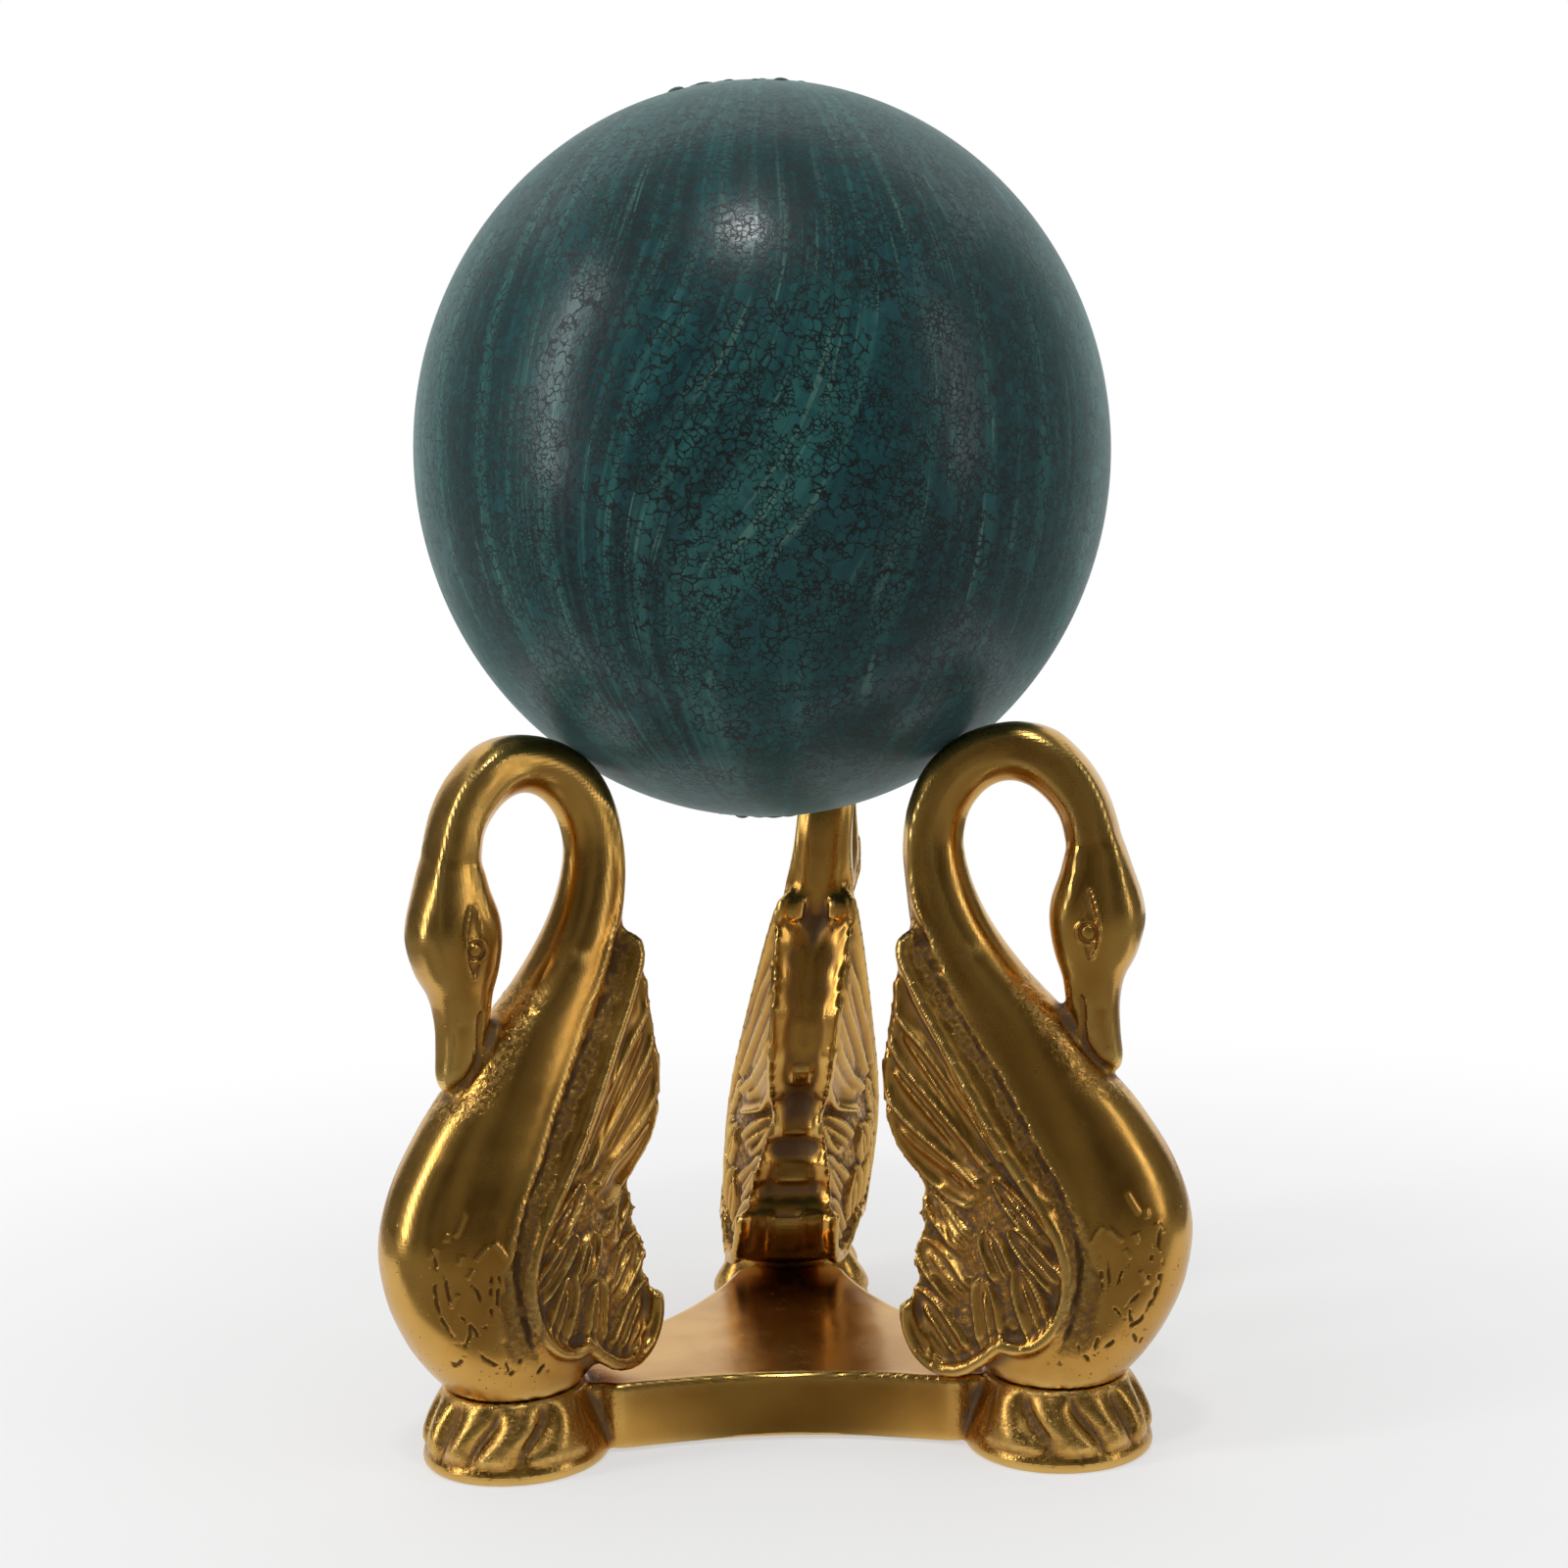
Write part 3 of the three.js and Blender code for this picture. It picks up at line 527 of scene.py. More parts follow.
def rim_band(side):
    """A strip carried along the rim, from its crest out to the body's skin and down inside it."""
    rim = spline(np.column_stack([RIM_PATH, BAND]), 220)
    along = np.gradient(rim[:, :2], axis=0)
    along /= np.linalg.norm(along, axis=1, keepdims=True)
    away = np.stack([-along[:, 1], along[:, 0]], 1)[:, None, :]
    u = np.linspace(-0.15, 1, 14)[None, :, None]
    flat = rim[:, None, :2] + u * rim[:, None, 3:] * away
    flat[..., 1] = np.maximum(flat[..., 1], 0.4)
    foot = np.minimum(body_half(flat[:, -1, 0], flat[:, -1, 1]) + 0.1, rim[:, 2] - 0.3)[:, None]
    out = rim[:, None, 2] + (foot - rim[:, None, 2]) * u[..., 0].clip(0) ** 1.3
    outer = np.stack([flat[..., 0], out, flat[..., 1]], -1)
    inner = np.stack([flat[..., 0], np.full_like(out, 2.5), flat[..., 1]], -1)
    return shell(outer, inner, side)


def back_web():
    """The back between the wings: strips from side to side, set in from the wings' rear edges, and
    flush with them at the bottom."""
    height = np.linspace(3.2, 77, 160)
    down = REAR_EDGE[::-1]
    edge, half = (np.interp(height, np.maximum.accumulate(down[:, 1]), down[:, k])[:, None] for k in (0, 2))
    across = np.linspace(-1, 1, 15)[None, :]
    sideways = (half - 0.4) * across
    recess = (0.3 + 1.7 * ease(height, 11, 19))[:, None]
    skin = np.stack([edge + recess + 0 * across, sideways, height[:, None] + 0 * across], -1)
    inside_body = skin.copy()
    inside_body[..., 0] = -12
    return shell(skin, inside_body)


def rim_bead(side):
    """A round section carried along the wing's rim from the neck, fuller round the bottom."""
    path = spline(RIM_PATH, 220)[:, [0, 2, 1]]
    along = np.gradient(path, axis=0)
    along[:, 1] = 0
    along /= np.linalg.norm(along, axis=1, keepdims=True)
    across = np.cross(along, (0, 1, 0))
    share = np.linspace(0, 1, len(path))
    path[:, 1] -= 0.3
    radius = (0.4 + 1.0 * ease(share, 0.45, 0.7))[:, None, None]
    angle = full_turn(20)[None, :, None]
    ring = np.cos(angle) * across[:, None, :] + np.sin(angle) * np.array([0, 1, 0])
    return tube((path[:, None, :] + radius * ring) * (1, side, 1))


def crest(at, line, width, taper=0.0):
    """A rounded ridge along a line: 1 on it, falling away over that width and over a share of its ends."""
    distance, share = to_line(at, spline(line, 60))
    ridge = bell(distance, width)
    return ridge * ease(0.5 - np.abs(share - 0.5), 0, taper) if taper else ridge


def leaf_cover(at, tip_p, tip_z, root_p, root_z, half):
    """A leaf feather's share of the surface and its carving: an arched outline with a raised border, a
    rib off its middle, a shorter second rib and a hollow between, all fading at its root."""
    tip, axis = np.array([tip_p, tip_z]), np.array([root_p - tip_p, root_z - tip_z])
    length = np.hypot(*axis)
    axis /= length
    along = (at - tip) @ axis / length
    across = (at - tip) @ np.array([-axis[1], axis[0]])
    arch = np.sqrt(np.clip(1 - (1 - along / 0.5).clip(0) ** 2, 0, 1))
    v = across / (half * arch).clip(0.05)
    border = bell(np.abs(v) - 0.76, 0.25)
    rib = bell(v - 0.08, 0.19) * ease(along, 0.16, 0.4)
    second = bell(v + 0.4, 0.14) * ease(along, 0.4, 0.6)
    carving = -0.55 + 0.2 * along + (1.15 - 0.35 * along.clip(0, 1)) * border + 0.75 * rib + 0.35 * second
    share = ease(1.18 - np.abs(v), 0, 0.22) * ease(along, -0.02, 0.06) * ease(1.12 - along, 0, 0.3)
    return share, carving


def feather_relief(at):
    """Height of the wing's carving at (outward, height), and how rough the casting is there. The long
    feathers are hollows between a bold ridge at each lower edge and a thin rib; below them lie leaf
    feathers, and the ground between leaves is sunk and rough."""
    height = np.full(len(at), FEATHER_GROUND)
    for line in FEATHER_EDGES:
        distance = to_line(at, spline(line, 60))[0]
        height -= 0.4 * bell(distance + 1.6, 1.0)
        edge = FEATHER_EDGE_RISE * bell(distance, FEATHER_EDGE_WIDTH)
        height = np.maximum(height, edge + FEATHER_GROUND)
    for line in FEATHER_RIBS:
        height += FEATHER_RIB_RISE * crest(at, line, FEATHER_RIB_WIDTH, 0.2)
    lower = to_line(at, np.concatenate([FEATHER_EDGES[-1][3:], [(-8.5, 37.5), (-2.5, 36.5)]]))[0]
    below = ease(-lower, 0.2, 1.4)
    height = height + below * (LEAF_GROUND - height)
    rough = np.maximum(below, 0.6 * ease(at[:, 0], -17, -11) * ease(-at[:, 1], -50, -42))
    for leaf in LEAVES:
        share, carving = leaf_cover(at, *leaf)
        height = height + share * (carving - height)
        rough = rough * (1 - 0.75 * share)
    return height, rough


def back_relief(sideways, height):
    """Carving of the back between the wings: a faint groove down the middle, and bosses and hollows that
    fall off with the distance from their middles, more squarely with a higher power."""
    lift = -0.22 * bell(sideways, 1.2) * ease(height, 46, 50) * ease(-height, -76, -72)
    for rise, middle, tall, wide, power in BACK_FORMS:
        lift += rise * np.exp(-((height - middle) / tall) ** power - (sideways / wide) ** power)
    return lift


def swan_mesh():
    """One swan in its own frame, outward along X with its seat at height 0. The body, head, wings and
    rims are fused, and carving is added along the skin's normals as heights that fall off with the
    distance from lines drawn on the swan's flank. Casting grain and the breast's strokes are added last."""
    parts = [oval_body(NECK, 260, 72), oval_body(HEAD, 160, 60), oval_body(WEB, 40, 40)]
    for side in (1, -1):
        parts += [wing_body(side), rim_band(side), rim_bead(side)]
    mesh = fused(parts + [back_web()], SWAN_VOXEL)
    place_points(mesh, smoothed(points_of(mesh), neighbour_mean(mesh), FUSED_PASSES))
    for chosen in (carved_places, eye_places):
        refine(mesh, chosen(points_of(mesh)))
    mean = neighbour_mean(mesh)
    points = smoothed(points_of(mesh), mean, REFINED_PASSES)
    place_points(mesh, points)
    normals = normals_of(mesh)
    flank = points[:, [0, 2]]
    outward = np.abs(points[:, 1])
    turned_out = np.sign(points[:, 1]) * normals[:, 1]
    facing = ease(turned_out, 0.1, 0.6)

    # Wing: carved feathers inside its outline, a bead on its rim and tips on its rear edge
    rear = even(spline(REAR_EDGE[:, :2], 200), 120)
    outline = np.concatenate([rear, even(spline(RIM[:, :2], 200), 120)[::-1]])
    from_rim, along_rim = to_line(flank, spline(RIM_PATH[:, :2], 150))
    from_rim = np.abs(from_rim)
    from_rear = np.abs(to_line(flank, rear)[0])
    on_wing = inside(flank, outline) * (outward > 4) * facing * ease(from_rim, 0.7, 1.7)
    wing, rough = feather_relief(flank)
    wing = wing * ease(from_rear, 0, 2.2) + 0.25 * bell(from_rear, 0.9)
    lift = on_wing * wing
    bead = bell(from_rim, RIM_WIDTH) * ease(turned_out, -0.2, 0.3) * (outward > 3.4)
    rise = RIM_RISE - (RIM_RISE - RIM_LOW_RISE) * ease(along_rim, 0.45, 0.65)
    lift += rise * bead * ease(along_rim, 0, 0.08)
    lift -= 0.35 * on_wing * bell(from_rim - 2.2, 0.8)
    tips = sum(bell(points[:, 2] - tip, TIP_HALF_HEIGHT) for tip in FEATHER_TIPS)
    on_edge = ease(-normals[:, 0], 0.5, 0.9) * (points[:, 0] < -18) * ease(outward, 3, 4.5)
    lift += on_edge * (TIP_RISE * tips - TIP_SUNK)
    # Back between the wings
    on_back = ease(-normals[:, 0], 0.5, 0.8) * (points[:, 0] < -18) * (outward < 8)
    lift += on_back * back_relief(points[:, 1], points[:, 2])

    # Flank: the rough groove beside the wing, the rough band that widens from it downwards, and ridges
    off_wing = ease(outward, 4, 6) * facing * (1 - on_wing)
    groove, along_groove = to_line(flank, spline(ROUGH_GROOVE, 80))
    groove += 0.25 * bump_noise(points, 1.3, 11)
    in_range = ease(0.5 - np.abs(along_groove - 0.5), 0, 0.08)
    groove_width = 0.42 + 0.7 * ease(points[:, 2], 60, 78)
    groove_mask = bell(groove, groove_width) * off_wing * in_range
    groove_mask *= 0.6 + 0.4 * ease(bump_noise(points, 1.9, 13), -0.5, 0.2)
    spread = 4 * ease(-points[:, 2], -34, -16) + 0.6 * bump_noise(points, 2.4, 14)
    short_of_rim = ease(groove + 0.6 * bump_noise(points, 3, 15), -3.0, -1.8)
    rough_band = ease(spread - groove, -0.5, 0.5) * short_of_rim
    rough_band *= off_wing * in_range
    lift -= GROOVE_DEPTH * groove_mask + ROUGH_BAND_DEPTH * rough_band
    ridge = crest(flank, BODY_RIDGE, RIDGE_WIDTH, 0.1) * facing * (outward > 3) * (1 - on_wing)
    lift += (RIDGE_RISE + RIDGE_HIGH_RISE * ease(points[:, 2], 62, 80)) * ridge
    for line in ARCH_RIDGES:
        lift += ARCH_RIDGE_RISE * ease(points[:, 2], 68, 72) * facing * crest(flank, line, RIDGE_WIDTH, 0.3)

    # Head: the eye, the beak's groove and its flat face
    head = facing * (points[:, 0] > 2.5) * ease(points[:, 2], 53, 55)
    lift += head * head_relief(flank)
    facet = ease(inside_depth(flank, BEAK_FACET), 0, 0.4) * facing * (outward > 1)
    lift += facet * (flat_face(flank, outward, facet) - outward - 0.12) / turned_out.clip(0.4)
    place_points(mesh, smoothed(points + lift[:, None] * normals, mean, CARVED_PASSES))
    skin, normals = points_of(mesh), normals_of(mesh)

    # Casting grain and the breast's strokes, on the carved skin
    throat = crest(flank, THROAT_JOINT, THROAT_WIDTH) * (outward < 11)
    rough_ground = on_wing * rough * ease(-wing, -0.2, 0.4)
    grain = np.clip(groove_mask + 0.85 * rough_band + 0.7 * throat + rough_ground, 0, 1)
    lift = grain * (0.1 * bump_noise(points, 0.7, 3) + 0.09 * bump_noise(points, 1.6, 4))
    lift += np.clip(0.35 - grain, 0, 1) * 0.1 * bump_noise(points, 9, 5)
    cut, bright = breast_strokes(points, ease(turned_out, 0, 0.3) * (1 - on_wing))
    lift += BRIGHT_RISE * bright - CUT_DEPTH * cut
    place_points(mesh, skin + lift[:, None] * normals)
    finish_marks(mesh, mean, grain)
    mark(mesh, "cut", np.maximum(cut, np.maximum(0.75 * groove_mask, 0.48 * rough_band)))
    breast = ease(points[:, 0], 1, 7) * ease(-points[:, 2], -37, -30) * ease(points[:, 2], 1, 4)
    mark(mesh, "breast", breast * (1 - on_wing) * (1 - groove_mask))
    keep_place(mesh, points)
    return mesh


def on_breast(points):
    """Whether each point is low enough and far enough to the front to have strokes near it."""
    return (points[:, 0] > STROKES_BACK) & (points[:, 2] < STROKES_TOP)


def breast_strokes(points, shown):
    """Shares of each place covered by the breast's cut strokes, broken by noise, and by its raised ones."""
    cut, bright = np.zeros(len(points)), np.zeros(len(points))
    near = np.flatnonzero(on_breast(points) & (shown > 0))
    flank = points[near][:, [0, 2]]
    for cover, lines, width in ((cut, CUT_STROKES, CUT_WIDTH), (bright, BRIGHT_STROKES, BRIGHT_WIDTH)):
        for line in lines:
            cover[near] = np.maximum(cover[near], crest(flank, line, width, 0.2))
    return cut * shown * ease(bump_noise(points, 1.2, 31), -0.3, 0.1), bright * shown


def inside_depth(points, outline):
    """Distance in from a closed outline, and 0 outside it."""
    edge = np.abs(to_line(points, np.concatenate([outline, outline[:1]]))[0])
    return np.where(inside(points, outline), edge, 0)


def flat_face(flank, outward, share):
    """Sideways height of the flat face that best fits the skin where the share is more than nothing."""
    places = np.column_stack([flank, np.ones(len(flank))])
    chosen = share > 0
    return places @ np.linalg.lstsq(places[chosen], outward[chosen], rcond=None)[0]


def keep_place(mesh, points):
    """Keeps each point's own place, in metres, for the marks cut into the metal."""
    layer = mesh.attributes.new("own_place", "FLOAT_VECTOR", "POINT")
    layer.data.foreach_set("vector", (points * MM).astype(np.float32).ravel())


def head_relief(at):
    """Eye in a shallow hollow that is pointed above and below, with a raised brow in front of it, and
    the groove of the beak."""
    across, up = (at - EYE).T
    reach = np.where(up > 0, 8.6, 5.4)
    lens = (1 - (up / reach) ** 2).clip(0)
    front = across - 2.1 * lens
    behind = -across - 1.4 * lens
    within = ease(-np.maximum(front, behind), 0, 0.7) * (lens > 0)
    brow = bell(front, 0.45) * ease(lens, 0, 0.4)
    eye = np.hypot(across, up)
    height = -0.45 * within * ease(eye, 1.2, 2.2) + 0.4 * brow
    height += 0.12 * ease(-eye, -1.4, -0.2) - 0.45 * bell(eye - 1.5, 0.32)
    height += 0.2 * bell(eye - 2.1, 0.35)
    return height - 0.5 * crest(at, BEAK_GROOVE, 0.5, 0.1)


def carved_places(points):
    """Where the skin needs finer faces: the wings' faces and rims, the rough groove, the eye and beak,
    and the strokes on the breast."""
    flank = points[:, [0, 2]]
    outward = np.abs(points[:, 1])
    outline = np.concatenate([REAR_EDGE[:, :2], RIM[::-1, :2]])
    wing = inside(flank, outline) & (outward > 5.2)
    rim = np.abs(to_line(flank, spline(RIM_PATH[:, :2], 80))[0]) < 1.8
    groove = to_line(flank, spline(ROUGH_GROOVE, 80))[0]
    groove = (groove < 1.2) & (groove > -2.5)
    lines = [spline(line, 12) for line in CUT_STROKES + BRIGHT_STROKES]
    breast = np.flatnonzero(on_breast(points) & (outward > 2))
    stroked = np.zeros(len(points), bool)
    for line in lines:
        stroked[breast] |= np.abs(to_line(flank[breast], line)[0]) < 1.1
    eye = np.hypot(*(flank - EYE).T / np.array([[3.8], [9.5]])) < 1
    beak = np.abs(to_line(flank, BEAK_GROOVE)[0]) < 1.3
    return wing | ((rim | groove) & (outward > 3.4)) | stroked | ((eye | beak) & (outward > 1.5))


def eye_places(points):
    """Where the skin needs the finest faces: round the eyes."""
    return (np.hypot(points[:, 0] - EYE[0], points[:, 2] - EYE[1]) < 3.4) & (np.abs(points[:, 1]) > 1.5)


def refine(mesh, chosen):
    """Splits each four-cornered face in four where all its corners are chosen."""
    corners, edges = (read(mesh.loops, name) for name in ("vertex_index", "edge_index"))
    starts, sizes = (read(mesh.polygons, name) for name in ("loop_start", "loop_total"))
    four = starts[sizes == 4][:, None] + np.arange(4)
    split = np.unique(edges[four[chosen[corners[four]].all(1)]])
    form = bmesh.new()
    form.from_mesh(mesh)
    form.edges.ensure_lookup_table()
    bmesh.ops.subdivide_edges(form, edges=[form.edges[i] for i in split], cuts=1, use_grid_fill=True)
    form.to_mesh(mesh)
    form.free()


def finish_marks(mesh, mean, grain):
    """Hollows and worn edges from the skin's curvature: how far the mean of each point's surroundings
    lies along its normal, gathered over a wide and a narrow neighbourhood."""
    points, normals = points_of(mesh), normals_of(mesh)
    wide = points
    for step in range(WIDE_STEPS):
        wide = mean(wide)
        if step + 1 == NEAR_STEPS:
            near = wide
    fine = ((near - points) * normals).sum(1)
    broad = ((wide - points) * normals).sum(1)
    mark(mesh, "hollow", np.clip(2.2 * fine + 0.9 * broad, 0, 1))
    mark(mesh, "worn", np.clip(-2.6 * fine - 0.5 * broad, 0, 1))
    mark(mesh, "grain", grain)


def placed_swan(mesh, azimuth, twist, lean):
    """The swan sheared sideways by its lean, turned by its twist about its screw, moved out along X and
    turned to its corner."""
    turn = Matrix.Rotation(math.radians(azimuth), 4, "Z")
    turn = turn @ Matrix.Translation((FOOT_CIRCLE * MM, 0, SEAT_HEIGHT * MM))
    turn = turn @ Matrix.Rotation(math.radians(twist), 4, "Z")
    sideways = Matrix.Identity(4)
    sideways[1][2] = math.tan(math.radians(lean))
    turn = turn @ sideways
    copy = mesh.copy()
    copy.transform(turn)
    return copy


def turned(points, degrees):
    """Points turned about the upright axis."""
    c, s = math.cos(math.radians(degrees)), math.sin(math.radians(degrees))
    x, y, z = np.moveaxis(np.asarray(points, float), -1, 0)
    return np.stack([c * x - s * y, s * x + c * y, z], -1)


def plate_reach(angle):
    """Distance from the axis to the plate's outline: sides that are each a parabola through the point
    nearest the axis, from corner to corner, and a notch between each corner and its foot."""
    corner = np.array([FOOT_CIRCLE - ARM_CORNER_INSET, ARM_WIDTH / 2, 0])
    start, end = corner, turned(corner * (1, -1, 1), 120)
    middle = turned((SIDE_DISTANCE, 0, 0), 60)
    u = np.linspace(0, 1, 80)[:, None]
    control = 2 * middle - (start + end) / 2
    side = (1 - u) ** 2 * start + 2 * u * (1 - u) * control + u ** 2 * end
    arm = np.linspace((FOOT_CIRCLE, -PAD_RADIUS / 2, 0), (FOOT_CIRCLE, PAD_RADIUS / 2, 0), 30)
    notch = np.array([FOOT_CIRCLE - CORNER_NOTCH, NOTCH_HALF, 0])
    out = np.concatenate([np.linspace(arm[-1], notch, 20)[1:], np.linspace(notch, start, 20)[1:]])
    third = np.concatenate([arm, out, side[1:], turned(out[-2::-1] * (1, -1, 1), 120)])
    outline = np.concatenate([turned(third, azimuth) for azimuth in (90, 210, 330)])
    bearing = np.arctan2(outline[:, 1], outline[:, 0]) % (2 * np.pi)
    order = bearing.argsort()
    reach = np.interp(angle, bearing[order], np.hypot(*outline[order, :2].T), period=2 * np.pi)
    blur = np.hanning(17)
    return np.convolve(np.concatenate([reach[-8:], reach, reach[:8]]), blur / blur.sum(), "valid")


def plate_body():
    """Rings about the axis from the middle of the underside out, up the rounded edge and in over the
    top, each the outline drawn in towards the axis."""
    angle = full_turn(1080)
    reach = plate_reach(angle)
    bend = np.linspace(0, np.pi / 2, 7)
    inset = EDGE_ROUNDING * (1 - np.sin(bend))
    rise = EDGE_ROUNDING * (1 - np.cos(bend))
    flats = np.linspace(0.02, 1, 30)[:, None]
    edge = reach - inset[:, None]
    low = np.concatenate([flats[:-1] * edge[:1], edge])
    low_z = np.concatenate([np.zeros(len(flats) - 1), rise])
    radius = np.concatenate([low, low[::-1]])
    height = np.concatenate([low_z, PLATE_THICKNESS - low_z[::-1]])
    upright = np.repeat(height[:, None], len(angle), 1)
    return tube(np.stack([radius * np.cos(angle), radius * np.sin(angle), upright], -1))


def toes(bearing, height):
    """Toes round a foot, by the bearing in degrees and the height above the sole: 1 along their rounded
    fronts and 0 in the gaps, as a cosine of the bearing, whose lower ends swing in towards the foot's
    front, with the share of the foot that has toes and how far up a toe the place is."""
    up_toe = np.clip((height - SOLE_LIP) / (PAD_HEIGHT - SOLE_HEIGHT - SOLE_LIP - 0.7), 0, 1)
    half_fan = TOE_COUNT * TOE_PITCH / 2
    lean = TOE_SWING * np.sin(np.pi * np.clip(bearing / half_fan, -1, 1))
    swing = bearing + lean * (1 - ease(up_toe, 0.05, 0.9))
    fan = ease(half_fan - np.abs(swing), 0, 6)
    return np.abs(np.cos(swing / TOE_PITCH * np.pi)) ** 0.6, fan, up_toe


def paw_foot(azimuth):
    """Rings from the sole to the pad: a lip, then the toes, on a cone that draws in towards the pad."""
    level = np.linspace(0, 1, 90)[:, None]
    bearing = np.linspace(-np.pi, np.pi, 360, endpoint=False)[None, :]
    height = level * (PAD_HEIGHT - SOLE_HEIGHT)
    toe, fan, up_toe = toes(np.degrees(bearing), height)
    cone = SOLE_RADIUS + (PAD_RADIUS - SOLE_RADIUS) * ease(level, 0.02, 1.05)
    sole = 0.7 * (1 - ease(height, 0, 0.9))
    swell = np.sin(np.pi * up_toe) ** 0.55
    lip_groove = 0.35 * bell(height - SOLE_LIP, 0.5) * fan
    radius = cone - sole + TOE_RELIEF * swell * fan * (toe - 0.55) - lip_groove
    grid = np.stack([radius * np.cos(bearing) + FOOT_CIRCLE, radius * np.sin(bearing),
                     np.repeat(SOLE_HEIGHT + height, bearing.size, 1)], -1)
    return tube(turned(grid, azimuth))


def rod(radius, bottom, top, azimuth):
    """A round bar on a foot's axis."""
    angle = full_turn(48)
    ring = np.stack([FOOT_CIRCLE + radius * np.cos(angle), radius * np.sin(angle), 0 * angle], -1)
    return tube(turned(np.stack([ring + (0, 0, bottom), ring + (0, 0, top)]), azimuth))


def base_mesh():
    """Plate and feet fused and smoothed, then bored from below for the screws."""
    azimuths = [stance[0] for stance in CORNERS.values()]
    mesh = fused([plate_body()] + [paw_foot(azimuth) for azimuth in azimuths], BASE_VOXEL)
    mean = neighbour_mean(mesh)
    points = smoothed(points_of(mesh), mean, BASE_PASSES)
    place_points(mesh, points)
    near_foot = np.full(len(points), 99.0)
    gaps = np.zeros(len(points))
    for azimuth in azimuths:
        x, y, z = (turned(points, -azimuth) - (FOOT_CIRCLE, 0, SOLE_HEIGHT)).T
        reach = np.hypot(x, y)
        near_foot = np.minimum(near_foot, reach)
        toe, fan, up_toe = toes(np.degrees(np.arctan2(y, x)), z)
        gap = fan * (1 - toe) ** 1.5 * ease(up_toe, 0.02, 0.15) * ease(-np.abs(reach - TOE_CIRCLE), -4, -3)
        gaps = np.maximum(gaps, gap)
    under_swan = ease(points[:, 2], 8, 12.6) * ease(-near_foot, -19, -12)
    up_side = ease(points[:, 2], 0, 4) * ease(-points[:, 2], -11.6, -10.5)
    hollow_by_foot = bell(near_foot - FOOT_CREASE, 2) * up_side
    grain = np.clip(0.4 * under_swan + 0.45 * hollow_by_foot + 0.25 * gaps, 0, 1)
    lift = 0.05 * grain * bump_noise(points, 1.1, 9) + 0.05 * bump_noise(points, 7, 10)
    place_points(mesh, points + lift[:, None] * normals_of(mesh))
    finish_marks(mesh, mean, grain)
    for label in ("breast", "cut"):
        mark(mesh, label, np.zeros(len(points)))
    keep_place(mesh, points)
    base = piece("brass_base", mesh)
    for radius, top in ((COUNTERBORE, COUNTERBORE_TOP), (BORE, PAD_HEIGHT + 1)):
        for azimuth in azimuths:
            bore(base, rod(radius, SOLE_HEIGHT - 1, top, azimuth))
    return base


def bore(target, cutter):
    """Cuts a closed surface out of a piece's mesh."""
    bar = in_scene("bar", mesh_of("bar", *cutter))
    cut = target.modifiers.new("bore", "BOOLEAN")
    cut.operation, cut.solver, cut.object = "DIFFERENCE", "EXACT", bar
    target.data = evaluated(target)
    target.modifiers.clear()
    bpy.data.objects.remove(bar)


def piece(name, mesh):
    """A piece of the object, at the origin."""
    mesh.name = name
    return in_scene(name, mesh)


def ball_surface(radius):
    """Height of the ball's skin above its centre, at a distance from its axis."""
    return BALL_HALF_HEIGHT * np.sqrt(1 - (radius / BALL_HALF_WIDTH) ** 2)


def flow(points):
    """How far each place on the ball lies across its marbling, in millimetres round its waist. Lines of
    equal flow run down the ball from pole to pole, and below the middle they are drawn to the left by a
    share that depends on the bearing. To the right they are measured from a spine, over whose upper end
    they turn in hairpins. Slow smooth noise pushes them about."""
    x, y, z = (points - BALL_CENTRE).T
    bearing, height = np.arctan2(x, -y), z / BALL_HALF_HEIGHT
    around = np.linspace(-np.pi, np.pi, 400)
    blur = np.hanning(31)
    pull = np.convolve(np.interp(around, *DRAWN_LEFT.T), blur / blur.sum(), "same")
    drawn_left = np.interp(bearing, around, pull) * ease(0.55 - height, 0, 1.1)
    from_spine = (bearing + drawn_left - SPINE_BEARING + np.pi) % (2 * np.pi) - np.pi
    across = np.hypot(from_spine, 0.6 * (height - SPINE_TOP).clip(0))
    tall = points * (1, 1, 0.4)
    push = 1.5 * bump_noise(points, 42, 21) + 1.0 * bump_noise(tall, 15, 22) + 0.3 * bump_noise(tall, 5, 23)
    return BALL_HALF_WIDTH * across + push


def mark_flow(mesh):
    """Keeps the marbling's flow, in metres, on a mesh of the ball."""
    mark(mesh, "flow", flow(points_of(mesh)) * MM)
    return mesh


def ball_mesh():
    """A spheroid by the cosine and sine of the angle from its pole, with a blind hole at each pole."""
    hole = PLUG_RADIUS + PLUG_GAP
    start = math.acos(float(ball_surface(hole)) / BALL_HALF_HEIGHT)
    angle = np.linspace(start, np.pi - start, BALL_RINGS)
    floor = float(ball_surface(hole)) - PLUG_HOLE_DEPTH
    radius = np.concatenate([[hole], BALL_HALF_WIDTH * np.sin(angle), [hole]])[:, None]
    height = np.concatenate([[floor], BALL_HALF_HEIGHT * np.cos(angle), [-floor]])[:, None]
    turn = full_turn(BALL_SIDES)[None, :]
    grid = np.stack([radius * np.cos(turn), radius * np.sin(turn), height + 0 * turn], -1)
    return mark_flow(mesh_of("ball", *tube(grid + BALL_CENTRE)))


